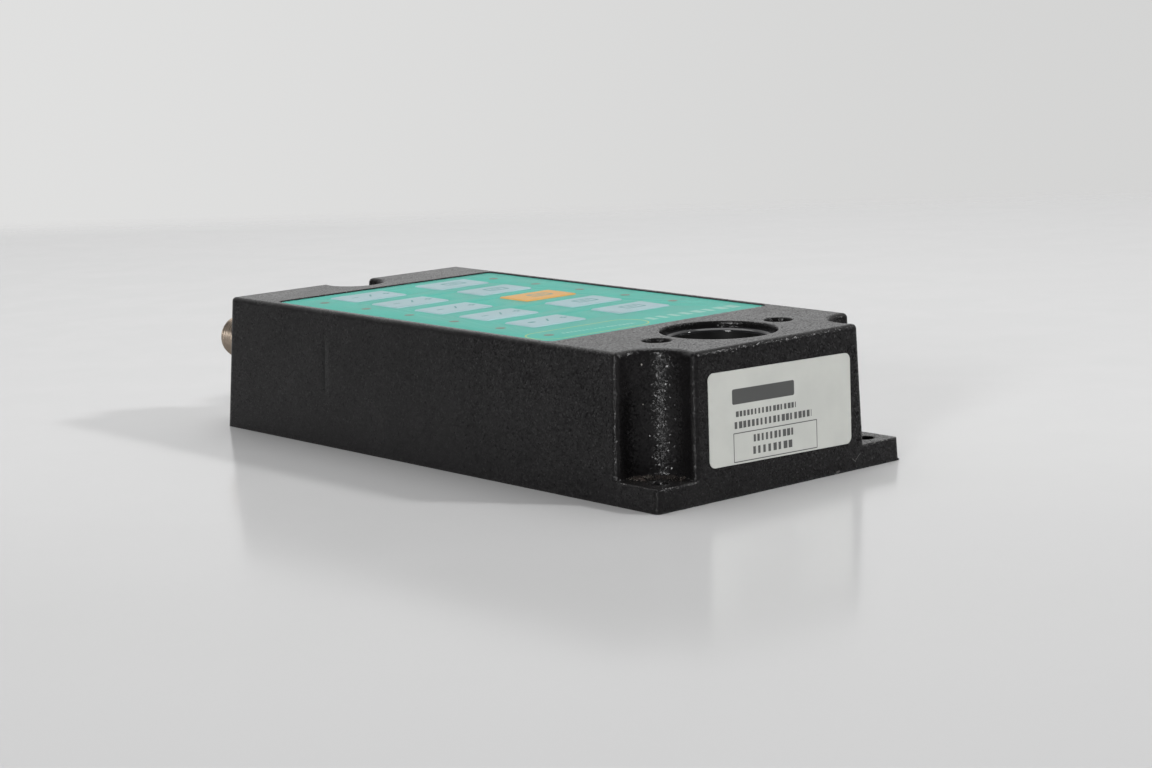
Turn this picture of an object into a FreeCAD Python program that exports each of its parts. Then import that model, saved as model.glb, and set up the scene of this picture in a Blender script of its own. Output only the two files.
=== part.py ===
import FreeCAD, Part
import Sketcher
import math
import os
import re

# Colour sensor in a die-cast housing: a keypad film over ten short-travel keys, optics behind a
# round opening in the top, three fixing ears and two round sockets in the rear wall.
# Millimetres, +Z up. The origin is the centre of the footprint on the base plane, the label wall
# faces -Y and the sockets face +Y.

doc = FreeCAD.newDocument("ColorSensor")

# Driving dimensions
SIZES = {
    # housing, from the front wall to the rear wall
    "bore_to_film": 5.1,
    "film_front_margin": 28.2,
    "key_pitch": 19.05,
    "film_rear_margin": 12.3,
    "rear_zone_length": 21.0,
    "housing_height": 37.4,
    "side_lean": 1.8,
    "front_lean": 1.1,
    "rear_lean": 2.2,
    "wall": 3.6,
    "deck_thickness": 4.0,
    "edge_radius": 1.2,
    # fixing ears and the scoops above them
    "ear_thickness": 6.0,
    "ear_inset_x": 6.45,
    "ear_inset_y": 6.2,
    "ear_hole_radius": 2.5,
    "scoop_radius": 9.1,
    "scoop_aside": 1.0,
    "scoop_back": 0.2,
    "rear_scoop_radius": 7.6,
    "scoop_flare": 0.4,
    # keypad film in its pocket
    "film_side_margin": 4.25,
    "pocket_depth": 0.6,
    "pocket_corner_radius": 2.2,
    "film_thickness": 0.3,
    "film_clearance": 0.2,
    "emboss_height": 0.35,
    "emboss_bevel": 0.25,
    # keys
    "field_width": 18.0,
    "field_depth": 12.3,
    "field_corner_radius": 1.4,
    "key_row_x": 15.2,
    "cap_width": 15.0,
    "cap_depth": 8.8,
    "cap_corner_radius": 1.2,
    "cap_clearance": 0.3,
    "crown_gap": 0.05,
    "cap_play": 0.05,
    "flange_lip": 1.0,
    "flange_thickness": 1.0,
    "key_travel": 0.4,
    "key_overtravel": 0.2,
    "stem_radius": 1.6,
    "stem_entry": 0.6,
    "stem_clearance": 0.25,
    "switch_width": 6.2,
    "switch_height": 3.8,
    # indicator lights
    "indicator_offset": 15.6,
    "indicator_margin": 8.2,
    "indicator_lead": 0.6,
    "indicator_radius": 1.5,
    "indicator_clearance": 0.2,
    "indicator_film_gap": 0.1,
    # boards and what holds them
    "board_thickness": 1.6,
    "board_edge_gap": 0.35,
    "keypad_board_front_gap": 5.0,
    "board_boss_radius": 2.6,
    "board_boss_inset": 4.5,
    "board_boss_edge": 10.4,
    "board_screw_radius": 1.25,
    "thread_clearance": 0.05,
    "screw_hole_clearance": 0.15,
    "board_screw_head_radius": 2.3,
    "board_screw_head_height": 1.6,
    "board_screw_length": 5.0,
    "standoff_radius": 2.6,
    "stud_length": 5.0,
    "link_width": 5.0,
    "link_length": 25.0,
    "link_edge": 6.4,
    "link_socket_height": 8.5,
    "processor_width": 14.0,
    "processor_height": 1.4,
    "amplifier_width": 5.0,
    "amplifier_depth": 6.2,
    "amplifier_height": 1.7,
    "interface_width": 6.0,
    "interface_depth": 10.0,
    "interface_height": 1.75,
    "regulator_width": 10.0,
    "regulator_depth": 9.0,
    "regulator_height": 4.4,
    "regulator_y_gap": 9.0,
    "capacitor_radius": 4.0,
    "capacitor_headroom": 5.6,
    # optics
    "front_gap": 2.4,
    "bore_radius": 15.2,
    "bore_depth": 2.4,
    "ledge_width": 1.8,
    "barrel_clearance": 0.1,
    "barrel_lip": 1.0,
    "lens_shelf": 1.4,
    "barrel_flange_reach": 1.6,
    "barrel_flange_thickness": 2.0,
    "barrel_foot_gap": 2.0,
    "lens_depth": 9.5,
    "lens_edge": 1.8,
    "lens_curve_radius": 30.0,
    "retainer_width": 1.1,
    "retainer_thickness": 1.5,
    "seal_margin": 0.2,
    "well_radius": 3.85,
    "well_gap": 0.35,
    "well_depth": 6.0,
    "boss_wall": 2.4,
    "optics_seat_drop": 9.0,
    "block_rim": 1.0,
    "lug_radius": 4.5,
    "optics_screw_radius": 2.0,
    "optics_screw_end": 3.0,
    "optics_screw_head_radius": 3.5,
    "optics_screw_head_height": 4.0,
    "detector_board_inset": 2.0,
    "detector_board_tail": 18.0,
    "detector_screw_offset": 4.0,
    "detector_screw_rim": 3.0,
    "detector_screw_radius": 1.0,
    "detector_screw_length": 4.5,
    "detector_size": 5.0,
    "detector_height": 1.6,
    "baffle_radius": 5.2,
    "baffle_wall": 0.6,
    "aperture_radius": 1.5,
    "aperture_thickness": 0.5,
    "light_wall_gap": 1.3,
    "light_radius": 1.5,
    "light_height": 4.6,
    "detector_link_height": 4.2,
    "detector_link_width": 12.0,
    "detector_link_depth": 5.0,
    # base
    "plate_thickness": 2.0,
    "board_floor_gap": 7.0,
    "gasket_thickness": 0.5,
    "rim": 1.6,
    "plate_clearance": 0.25,
    "pillar_inset": 7.1,
    "pillar_radius": 3.4,
    "pillar_front_inset": 28.0,
    "pillar_rear_gap": 0.4,
    "base_screw_radius": 1.5,
    "base_screw_length": 10.0,
    "base_screw_head_radius": 3.0,
    "base_screw_sink": 0.1,
    # rear sockets
    "socket_x": 29.5,
    "socket_drop": 10.2,
    "socket_boss_radius": 10.0,
    "socket_inner_seat": 6.6,
    "socket_neck_radius": 7.0,
    "socket_neck_end": 3.6,
    "socket_clearance": 0.1,
    "socket_seal_thickness": 0.8,
    "socket_flange_radius": 8.8,
    "socket_flange_thickness": 2.2,
    "socket_nose_radius": 6.0,
    "socket_nose_length": 10.4,
    "socket_bore_radius": 4.6,
    "insert_recess": 0.4,
    "contact_radius": 0.6,
    "contact_circle_radius": 2.4,
    "contact_recess": 1.2,
    "contact_tail": 1.0,
    "nut_across_flats": 17.0,
    "nut_thickness": 3.0,
    "solder_board_radius": 6.5,
    "solder_board_thickness": 1.0,
    # label
    "label_width": 50.3,
    "label_height": 23.3,
    "label_thickness": 0.25,
    "label_corner_radius": 1.8,
    "label_centre_z": 19.45,
    "label_turn": -1.3,
    "label_glue": 0.02,
}

# Places that follow from the driving dimensions
PLACES = {
    "film_length": "film_front_margin + 4 * key_pitch + film_rear_margin",
    "barrel_radius": "bore_radius - ledge_width",
    "barrel_mouth_radius": "barrel_radius - barrel_lip",
    "barrel_throat_radius": "barrel_mouth_radius - lens_shelf",
    "barrel_flange_radius": "barrel_radius + barrel_flange_reach",
    "block_radius": "barrel_flange_radius + block_rim",
    "bore_inset": "wall + front_gap + block_radius",
    "front_zone_length": "bore_inset + bore_radius + bore_to_film",
    "half_length": "(front_zone_length + film_length + rear_zone_length) / 2",
    "indicator_row_x": "key_row_x + indicator_offset",
    "half_width": "indicator_row_x + indicator_margin + film_side_margin",
    "ear_x": "half_width - ear_inset_x",
    "ear_y": "half_length - ear_inset_y",
    "deck_under": "housing_height - deck_thickness",
    "film_front": "front_zone_length - half_length",
    "film_rear": "film_front + film_length",
    "pocket_half_width": "half_width - film_side_margin",
    "pocket_floor": "housing_height - pocket_depth",
    "film_top": "pocket_floor + film_thickness",
    "first_key_y": "film_front + film_front_margin",
    "flange_top": "deck_under - cap_play",
    "flange_under": "flange_top - flange_thickness",
    "switch_top": "flange_under - key_travel - key_overtravel",
    "keypad_board_top": "switch_top - switch_height",
    "keypad_board_under": "keypad_board_top - board_thickness",
    "board_half_width": "half_width - pillar_inset - pillar_radius - board_edge_gap",
    "board_rear": "ear_y - scoop_radius - wall - 2 * board_edge_gap",
    "board_boss_x": "board_half_width - board_boss_edge",
    "link_x": "board_half_width - link_edge",
    "bore_y": "bore_inset - half_length",
    "ledge": "housing_height - bore_depth",
    "well_floor": "housing_height - well_depth",
    "optics_boss_radius": "well_radius + boss_wall",
    "optics_seat": "housing_height - optics_seat_drop",
    "optics_screw_x": "barrel_flange_radius + optics_boss_radius + well_gap",
    "main_board_under": "plate_thickness + board_floor_gap",
    "main_board_top": "main_board_under + board_thickness",
    "detector_board_under": "main_board_top + detector_link_height",
    "block_under": "detector_board_under + board_thickness",
    "keypad_board_front": "bore_y + block_radius + keypad_board_front_gap",
    "optics_screw_length": "well_floor - block_under - optics_screw_end",
    "detector_screw_x": "optics_screw_x - detector_screw_offset",
    "detector_board_rear": "bore_y + detector_board_tail",
    "main_board_front": "detector_board_rear - detector_link_depth - 2 * board_edge_gap",
    "lens_radius": "barrel_mouth_radius - barrel_clearance",
    "lens_seat": "ledge - lens_depth",
    "lens_ball_z": "lens_seat + lens_edge - sqrt(lens_curve_radius ^ 2 - lens_radius ^ 2)",
    "retainer_inner_radius": "lens_radius - retainer_width",
    "retainer_under": "lens_ball_z + sqrt(lens_curve_radius ^ 2 - retainer_inner_radius ^ 2)",
    "barrel_flange_top": "optics_seat + barrel_flange_thickness",
    "baffle_top": "block_under + detector_height + (lens_seat - block_under - detector_height) / 2",
    "light_circle_radius": "barrel_throat_radius - light_wall_gap - light_radius",
    "front_boss_y": "keypad_board_front + board_boss_inset",
    "rear_boss_y": "board_rear - board_boss_inset",
    "gasket_top": "plate_thickness + gasket_thickness",
    "pillar_x": "half_width - pillar_inset",
    "pillar_front_y": "pillar_front_inset - half_length",
    "socket_z": "deck_under - socket_drop",
    "seal_back": "half_length + socket_seal_thickness",
    "nose_start": "seal_back + socket_flange_thickness",
    "nose_end": "nose_start + socket_nose_length",
    "nut_seat": "half_length - socket_inner_seat",
    "neck_end": "nut_seat - socket_neck_end",
    "insert_face": "nose_end - insert_recess",
    "tail_end": "neck_end - solder_board_thickness - contact_tail",
    "pillar_rear_y": "tail_end - pillar_rear_gap - pillar_radius",
}

KEYS_PER_ROW = 5
CONTACTS = 5
LIGHTS = 6
FULL_TURN = 360.0
EPSILON = 1e-4

nodes = []


# Sheets and rules

def rule(text, home=None):
    """A rule written in plain names, with each name pointed at the sheet that holds it."""
    def place_of(match):
        word = match.group(0)
        if word in SIZES:
            return "Sizes." + word
        if word in PLACES and home != "Places":
            return "Places." + word
        return word
    return re.sub(r"[a-z][a-z_]*", place_of, text)


def fill_sheet(name, cells):
    """One spreadsheet with a name in column A and the value, with that name as alias, in B."""
    page = doc.addObject("Spreadsheet::Sheet", name)
    for row, (alias, content) in enumerate(cells.items(), start=1):
        page.set(f"A{row}", alias)
        page.set(f"B{row}", content)
        page.setAlias(f"B{row}", alias)
    return page


sizes = fill_sheet("Sizes", {alias: str(value) for alias, value in SIZES.items()})
doc.recompute()
places = fill_sheet("Places", {alias: "=" + rule(text, "Places") for alias, text in PLACES.items()})
doc.recompute()


def number(text):
    """The value of a rule as a plain number."""
    value = sizes.evalExpression(rule(text))
    return float(getattr(value, "Value", value))


def node(piece):
    """Register a finished sub-part under its own name."""
    piece.Label = piece.Name
    nodes.append(piece)
    return piece


# Primitives bound to the sheets

TURNS = {
    "+z": FreeCAD.Rotation(),
    "+y": FreeCAD.Rotation(FreeCAD.Vector(1, 0, 0), -90),
    "wall": FreeCAD.Rotation(FreeCAD.Vector(1, 0, 0), 90),
}


def primitive(kind, name, at, turn="+z", **rules):
    """A Part primitive whose place and sizes are rules."""
    piece = doc.addObject("Part::" + kind, name)
    piece.Placement = FreeCAD.Placement(FreeCAD.Vector(), TURNS[turn])
    for axis, text in zip("xyz", at):
        piece.setExpression("Placement.Base." + axis, rule(text))
    for size, text in rules.items():
        piece.setExpression(size, rule(text))
    return piece


def box(name, span_x, span_y, span_z):
    """A box from its low and high rules along each axis."""
    length, width, height = (f"({high}) - ({low})" for low, high in (span_x, span_y, span_z))
    at = (span_x[0], span_y[0], span_z[0])
    return primitive("Box", name, at, Length=length, Width=width, Height=height)


def around(centre, size):
    """The low and high rule of a span of a given size round a centre."""
    return f"{centre} - ({size}) / 2", f"{centre} + ({size}) / 2"


def post(name, x, y, span_z, radius):
    """An upright cylinder."""
    height = f"({span_z[1]}) - ({span_z[0]})"
    return primitive("Cylinder", name, (x, y, span_z[0]), Radius=radius, Height=height)


def rod(name, x, z, span_y, radius):
    """A cylinder that lies along Y."""
    height = f"({span_y[1]}) - ({span_y[0]})"
    return primitive("Cylinder", name, (x, span_y[0], z), "+y", Radius=radius, Height=height)


def hexagon(name, x, y, span_z, radius):
    """An upright hexagonal prism of a given corner radius."""
    height = f"({span_z[1]}) - ({span_z[0]})"
    piece = primitive("Prism", name, (x, y, span_z[0]), Circumradius=radius, Height=height)
    piece.Polygon = 6
    return piece


def cut(name, base, *tools):
    """The base with every tool taken away."""
    piece = doc.addObject("Part::Cut", name)
    piece.Base = base
    piece.Tool = tools[0] if len(tools) == 1 else fuse(name + "_tools", *tools)
    return piece


def fuse(name, *parts):
    """Several solids grown into one."""
    piece = doc.addObject("Part::MultiFuse", name)
    piece.Shapes = list(parts)
    return piece


def group(name, parts):
    """Several separate solids under one name."""
    piece = doc.addObject("Part::Compound", name)
    piece.Links = list(parts)
    return piece


def dressed_edges(kind, name, base, size, chosen):
    """The base with every edge that the chooser picks dressed to one size."""
    doc.recompute()
    piece = doc.addObject(kind, name)
    piece.Base = base
    value = number(size)
    edges = enumerate(base.Shape.Edges, start=1)
    piece.Edges = [(index, value, value) for index, edge in edges if chosen(edge)]
    return piece


def fillet(name, base, radius, chosen):
    return dressed_edges("Part::Fillet", name, base, radius, chosen)


def chamfer(name, base, width, chosen):
    return dressed_edges("Part::Chamfer", name, base, width, chosen)


def rise(edge):
    """How far an edge climbs along Z."""
    return abs(edge.Vertexes[0].Z - edge.Vertexes[-1].Z)


def is_upright(edge):
    return rise(edge) > 0.9 * edge.Length


def lies_at(level):
    """A chooser of the edges that lie in one level plane."""
    height = number(level)
    return lambda edge: all(abs(corner.Z - height) < EPSILON for corner in edge.Vertexes)


def rounded_box(name, span_x, span_y, span_z, radius):
    """A box with its upright edges rounded."""
    return fillet(name, box(name + "_box", span_x, span_y, span_z), radius, is_upright)


# Sketch-based bodies

def body_with_sketch(name, role, outline):
    """A body and a sketch on one of its own origin planes, with every corner given by rules."""
    body = doc.addObject("PartDesign::Body", name)
    sketch = body.newObject("Sketcher::SketchObject", name + "_outline")
    plane = next(item for item in body.Origin.OriginFeatures if item.Role == role)
    sketch.AttachmentSupport = [(plane, "")]
    sketch.MapMode = "FlatFace"
    corners = [FreeCAD.Vector(number(u), number(v), 0) for u, v in outline]
    count = len(corners)
    for index in range(count):
        sketch.addGeometry(Part.LineSegment(corners[index], corners[(index + 1) % count]), False)
    for index in range(count):
        follower = (index + 1) % count
        sketch.addConstraint(Sketcher.Constraint("Coincident", index, 2, follower, 1))
    for index, pair in enumerate(outline):
        for kind, text in zip(("DistanceX", "DistanceY"), pair):
            size = Sketcher.Constraint(kind, -1, 1, index, 1, number(text))
            bound = sketch.addConstraint(size)
            sketch.setExpression(f"Constraints[{bound}]", rule(text))
    return body, sketch


def turned(name, at, profile, turn="+z"):
    """A piece turned on a lathe: (radius, height) corners revolved round the local Z axis."""
    body, sketch = body_with_sketch(name, "XZ_Plane", profile)
    feature = body.newObject("PartDesign::Revolution", name + "_turning")
    feature.Profile = sketch
    feature.ReferenceAxis = (sketch, ["V_Axis"])
    feature.Angle = FULL_TURN
    body.Tip = feature
    place_body(body, at, TURNS[turn])
    return body


def padded_plate(name, at, outline, thickness, rotation=TURNS["+z"]):
    """A flat piece: an outline in its own plane, padded to a thickness."""
    body, sketch = body_with_sketch(name, "XY_Plane", outline)
    feature = body.newObject("PartDesign::Pad", name + "_pad")
    feature.Profile = sketch
    feature.setExpression("Length", rule(thickness))
    body.Tip = feature
    place_body(body, at, rotation)
    return body


def place_body(body, at, rotation):
    body.Placement = FreeCAD.Placement(FreeCAD.Vector(), rotation)
    for axis, text in zip("xyz", at):
        body.setExpression("Placement.Base." + axis, rule(text))


def ring(inner, outer, low, high):
    """The square profile of a plain ring."""
    return [(inner, low), (outer, low), (outer, high), (inner, high)]


# Fasteners

def screw(name, x, y, seat, up, thread, head):
    """A cap screw with a hexagon socket; its shank points away from the head.

    thread is (radius, length) and head is (radius, height); up is +1 where the head is on top.
    """
    radius, length = thread
    head_radius, head_height = head
    if up > 0:
        head_span = (seat, f"{seat} + {head_height}")
        shank_span = (f"{seat} - {length}", seat)
        key_span = (f"{seat} + {head_height} / 2", f"{seat} + {head_height}")
    else:
        head_span = (f"{seat} - {head_height}", seat)
        shank_span = (seat, f"{seat} + {length}")
        key_span = (f"{seat} - {head_height}", f"{seat} - {head_height} / 2")
    solid = fuse(name + "_solid",
                 post(name + "_head", x, y, head_span, head_radius),
                 post(name + "_shank", x, y, shank_span, radius))
    return cut(name, solid, hexagon(name + "_key", x, y, key_span, f"{head_radius} / 2"))


# Positions that repeat

ROWS = (("near", "-"), ("far", ""))
EARS = (("left", "-ear_x", "-ear_y"), ("right", "ear_x", "-ear_y"), ("rear", "0", "ear_y"))
SCOOPS = (("left", "-ear_x - scoop_aside", "scoop_back - ear_y", "scoop_radius"),
          ("right", "ear_x + scoop_aside", "scoop_back - ear_y", "scoop_radius"),
          ("rear", "0", "ear_y", "rear_scoop_radius"))
SIDES = (("left", "-"), ("right", ""))
PILLARS = [(f"{sign}pillar_x", y)
           for sign in ("-", "")
           for y in ("pillar_front_y", "(pillar_front_y + pillar_rear_y) / 2", "pillar_rear_y")]
CORNER_BOSSES = [(f"{sign}board_boss_x", y) for sign in ("-", "")
                 for y in ("front_boss_y", "rear_boss_y")]
MIDDLE_BOSSES = [("0", f"first_key_y + {step} * key_pitch") for step in (1.5, 3.5)]


def key_spots():
    """Row sign and Y rule of each of the ten keys."""
    return [(sign, f"first_key_y + {step} * key_pitch")
            for _, sign in ROWS for step in range(KEYS_PER_ROW)]


def indicator_spots():
    """X and Y rule of each indicator light: one by each key, and one more at the near front."""
    spots = [(f"{sign}indicator_row_x", f"{y} + indicator_lead") for sign, y in key_spots()]
    spots.append(("-indicator_row_x", "first_key_y - key_pitch + indicator_lead"))
    return spots


# Housing

def leaning_block(name, inset, top):
    """The drafted block of the housing, drawn in by an inset, up to a top level."""
    share = f"({top}) / housing_height"
    block = doc.addObject("Part::Wedge", name)
    block.Placement = FreeCAD.Placement(FreeCAD.Vector(), TURNS["wall"])
    spans = {
        "Xmin": f"{inset} - half_width",
        "Xmax": f"half_width - {inset}",
        "X2min": f"{inset} - half_width + side_lean * {share}",
        "X2max": f"half_width - {inset} - side_lean * {share}",
        "Zmin": f"{inset} - half_length",
        "Zmax": f"half_length - {inset}",
        "Z2min": f"{inset} - half_length + rear_lean * {share}",
        "Z2max": f"half_length - {inset} - front_lean * {share}",
        "Ymin": "0",
        "Ymax": top,
    }
    for side, text in spans.items():
        block.setExpression(side, rule(text))
    return block


def scoop_posts(name, span_z, wider):
    """One upright cylinder on the axis of each scoop, wider than the scoop by a rule."""
    return [post(f"{name}_{ear}", x, y, span_z, f"{radius} + {wider}")
            for ear, x, y, radius in SCOOPS]


def make_housing():
    scoops = [primitive("Cone", f"scoop_{ear}", (x, y, "ear_thickness"),
                        Radius1=radius, Radius2=f"{radius} + scoop_flare",
                        Height="housing_height - ear_thickness")
              for ear, x, y, radius in SCOOPS]
    block = cut("housing_block", leaning_block("housing_body", "0", "housing_height"), *scoops)
    at_top = lies_at("housing_height")
    outside = fillet("housing_outside", block, "edge_radius",
                     lambda edge: is_upright(edge) or at_top(edge))

    core = cut("housing_core", leaning_block("housing_cavity", "wall", "deck_under"),
               *scoop_posts("tower", ("0", "housing_height"), "wall"))
    shell = cut("housing_shell", outside, core)

    pads = [rod(f"{side}_socket_pad", f"{sign}socket_x", "socket_z",
                ("nut_seat", "half_length"), "socket_boss_radius") for side, sign in SIDES]
    wells = [post(f"{side}_well_boss", f"{sign}optics_screw_x", "bore_y",
                  ("optics_seat", "deck_under"), "optics_boss_radius") for side, sign in SIDES]
    pillars = [post(f"pillar_{index}", x, y, ("plate_thickness", "deck_under"), "pillar_radius")
               for index, (x, y) in enumerate(PILLARS, start=1)]
    bosses = [post(f"board_boss_{index}", x, y, ("keypad_board_top", "deck_under"),
                   "board_boss_radius")
              for index, (x, y) in enumerate(CORNER_BOSSES + MIDDLE_BOSSES, start=1)]
    carcass = fuse("housing_carcass", shell, *pads, *wells, *pillars, *bosses)

    holes = [post(f"ear_hole_{ear}", x, y, ("-wall", "housing_height"), "ear_hole_radius")
             for ear, x, y in EARS]
    holes.append(rebate("rebate", "rim", ("-wall", "gasket_top")))
    holes.append(rounded_box("film_pocket", ("-pocket_half_width", "pocket_half_width"),
                             ("film_front", "film_rear"),
                             ("pocket_floor", "housing_height + wall"), "pocket_corner_radius"))
    holes.append(post("bore", "0", "bore_y", ("ledge", "housing_height + wall"), "bore_radius"))
    holes.append(post("barrel_opening", "0", "bore_y", ("deck_under - wall", "housing_height"),
                      "barrel_radius + barrel_clearance"))
    for side, sign in SIDES:
        holes.append(post(f"{side}_well", f"{sign}optics_screw_x", "bore_y",
                          ("well_floor", "housing_height + wall"), "well_radius"))
        holes.append(post(f"{side}_well_hole", f"{sign}optics_screw_x", "bore_y",
                          ("optics_seat - wall", "housing_height"),
                          "optics_screw_radius + screw_hole_clearance"))
        holes.append(rod(f"{side}_socket_hole", f"{sign}socket_x", "socket_z",
                         ("nut_seat - wall", "half_length + wall"),
                         "socket_neck_radius + socket_clearance"))
    for index, (sign, y) in enumerate(key_spots(), start=1):
        holes.append(box(f"key_window_{index}",
                         around(f"{sign}key_row_x", "cap_width + 2 * cap_clearance"),
                         around(y, "cap_depth + 2 * cap_clearance"),
                         ("deck_under - wall", "housing_height + wall")))
    for index, (x, y) in enumerate(indicator_spots(), start=1):
        holes.append(post(f"indicator_hole_{index}", x, y,
                          ("deck_under - wall", "housing_height"),
                          "indicator_radius + indicator_clearance"))
    for index, (x, y) in enumerate(PILLARS, start=1):
        holes.append(post(f"pillar_thread_{index}", x, y,
                          ("-wall", "base_screw_length + wall"),
                          "base_screw_radius + thread_clearance"))
    for index, (x, y) in enumerate(CORNER_BOSSES + MIDDLE_BOSSES, start=1):
        holes.append(post(f"boss_thread_{index}", x, y,
                          ("keypad_board_top - wall", "deck_under + pocket_depth"),
                          "board_screw_radius + thread_clearance"))
    node(cut("housing", carcass, *holes))


def rebate(name, inset, span_z):
    """The footprint of the base drawn in by an inset, round the three ear holes as well."""
    block = box(name + "_block",
                (f"{inset} - half_width", f"half_width - ({inset})"),
                (f"{inset} - half_length", f"half_length - ({inset})"), span_z)
    return cut(name, block, *scoop_posts(name + "_ear", span_z, inset))


# Keypad

def make_overlay():
    """The film lies in the pocket; each key field is pressed up like a shallow pillow."""
    edge = "film_clearance"
    sheet = rounded_box("film_sheet",
                        (f"{edge} - pocket_half_width", f"pocket_half_width - {edge}"),
                        (f"film_front + {edge}", f"film_rear - {edge}"),
                        ("pocket_floor", "film_top"), "pocket_corner_radius - film_clearance")
    at_crest = lies_at("film_top + emboss_height")
    fields = []
    hollows = []
    for index, (sign, y) in enumerate(key_spots(), start=1):
        x = f"{sign}key_row_x"
        field = rounded_box(f"field_{index}_block", around(x, "field_width"),
                            around(y, "field_depth"),
                            ("pocket_floor", "film_top + emboss_height"), "field_corner_radius")
        fields.append(chamfer(f"field_{index}", field, "emboss_bevel", at_crest))
        hollows.append(box(f"hollow_{index}",
                           around(x, "field_width - 4 * film_thickness"),
                           around(y, "field_depth - 4 * film_thickness"),
                           ("pocket_floor - wall", "pocket_floor + emboss_height")))
    node(cut("keypad_overlay", fuse("film_raised", sheet, *fields), *hollows))


def make_key_caps():
    """A cap in each deck window, held from below by its flange, with a stem into the switch."""
    for index, (sign, y) in enumerate(key_spots(), start=1):
        x = f"{sign}key_row_x"
        name = f"key_cap_{index}"
        crown = rounded_box(name + "_crown", around(x, "cap_width"), around(y, "cap_depth"),
                            ("flange_under", "pocket_floor + emboss_height - crown_gap"),
                            "cap_corner_radius")
        flange = box(name + "_flange", around(x, "cap_width + 2 * flange_lip"),
                     around(y, "cap_depth + 2 * flange_lip"), ("flange_under", "flange_top"))
        stem = post(name + "_stem", x, y, ("switch_top - stem_entry", "flange_under"),
                    "stem_radius")
        node(fuse(name, crown, flange, stem))


def make_switches():
    switches = []
    for index, (sign, y) in enumerate(key_spots(), start=1):
        x = f"{sign}key_row_x"
        name = f"switch_{index}"
        case = box(name + "_case", around(x, "switch_width"), around(y, "switch_width"),
                   ("keypad_board_top", "switch_top"))
        well = post(name + "_well", x, y,
                    ("switch_top - stem_entry - key_travel - key_overtravel", "switch_top + wall"),
                    "stem_radius + stem_clearance")
        switches.append(cut(name, case, well))
    node(group("key_switches", switches))


def make_indicators():
    lights = [post(f"indicator_{index}", x, y,
                   ("keypad_board_top", "pocket_floor - indicator_film_gap"), "indicator_radius")
              for index, (x, y) in enumerate(indicator_spots(), start=1)]
    node(group("indicator_lights", lights))


# Boards

def screw_holes(name, spots, span_z, radius):
    return [post(f"{name}_hole_{index}", x, y, span_z, f"{radius} + screw_hole_clearance")
            for index, (x, y) in enumerate(spots, start=1)]


def make_keypad_board():
    board = box("keypad_board_panel", ("-board_half_width", "board_half_width"),
                ("keypad_board_front", "board_rear"), ("keypad_board_under", "keypad_board_top"))
    span = ("keypad_board_under - wall", "keypad_board_top + wall")
    node(cut("keypad_board", board,
             *screw_holes("keypad_board", CORNER_BOSSES + MIDDLE_BOSSES, span,
                          "board_screw_radius")))
    node(group("keypad_board_screws",
               [screw(f"keypad_board_screw_{index}", x, y, "keypad_board_under", -1,
                      ("board_screw_radius", "board_screw_length"),
                      ("board_screw_head_radius", "board_screw_head_height"))
                for index, (x, y) in enumerate(MIDDLE_BOSSES, start=1)]))


def make_main_board():
    board = box("main_board_panel", ("-board_half_width", "board_half_width"),
                ("main_board_front", "board_rear"), ("main_board_under", "main_board_top"))
    span = ("main_board_under - wall", "main_board_top + wall")
    node(cut("main_board", board,
             *screw_holes("main_board", CORNER_BOSSES, span, "board_screw_radius")))
    node(group("main_board_screws",
               [screw(f"main_board_screw_{index}", x, y, "main_board_under", -1,
                      ("board_screw_radius", "board_screw_length"),
                      ("board_screw_head_radius", "board_screw_head_height"))
                for index, (x, y) in enumerate(CORNER_BOSSES, start=1)]))
    standoffs = []
    for index, (x, y) in enumerate(CORNER_BOSSES, start=1):
        name = f"standoff_{index}"
        pillar = hexagon(name + "_pillar", x, y, ("main_board_top", "keypad_board_under"),
                         "standoff_radius")
        stud = post(name + "_stud", x, y,
                    ("keypad_board_under", "keypad_board_under + stud_length"),
                    "board_screw_radius")
        thread = post(name + "_thread", x, y,
                      ("main_board_top - wall", "main_board_top + board_screw_length"),
                      "board_screw_radius + thread_clearance")
        standoffs.append(cut(name, fuse(name + "_solid", pillar, stud), thread))
    node(group("board_standoffs", standoffs))


def chip(name, x, y, width, depth, height):
    """A flat component on top of the main board."""
    return box(name, around(x, width), around(y, depth),
               ("main_board_top", f"main_board_top + {height}"))


def make_components():
    node(group("main_board_chips", [
        chip("processor", "0", "first_key_y + key_pitch",
             "processor_width", "processor_width", "processor_height"),
        chip("amplifier", "key_row_x", "first_key_y",
             "amplifier_width", "amplifier_depth", "amplifier_height"),
        chip("interface_chip", "0", "first_key_y + 3 * key_pitch",
             "interface_width", "interface_depth", "interface_height"),
        chip("regulator", "key_row_x", "rear_boss_y - regulator_y_gap",
             "regulator_width", "regulator_depth", "regulator_height"),
    ]))
    capacitor_span = ("main_board_top", "keypad_board_under - capacitor_headroom")
    node(group("main_board_capacitors",
               [post(f"capacitor_{step}", "key_row_x", f"first_key_y + {step} * key_pitch / 2",
                     capacitor_span, "capacitor_radius") for step in (2, 3, 4)]))
    spans = (around("-link_x", "link_width"), around("first_key_y + 2 * key_pitch", "link_length"))
    split = "main_board_top + link_socket_height"
    node(box("board_link_socket", *spans, ("main_board_top", split)))
    node(box("board_link_plug", *spans, (split, "keypad_board_under")))


# Optics

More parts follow.
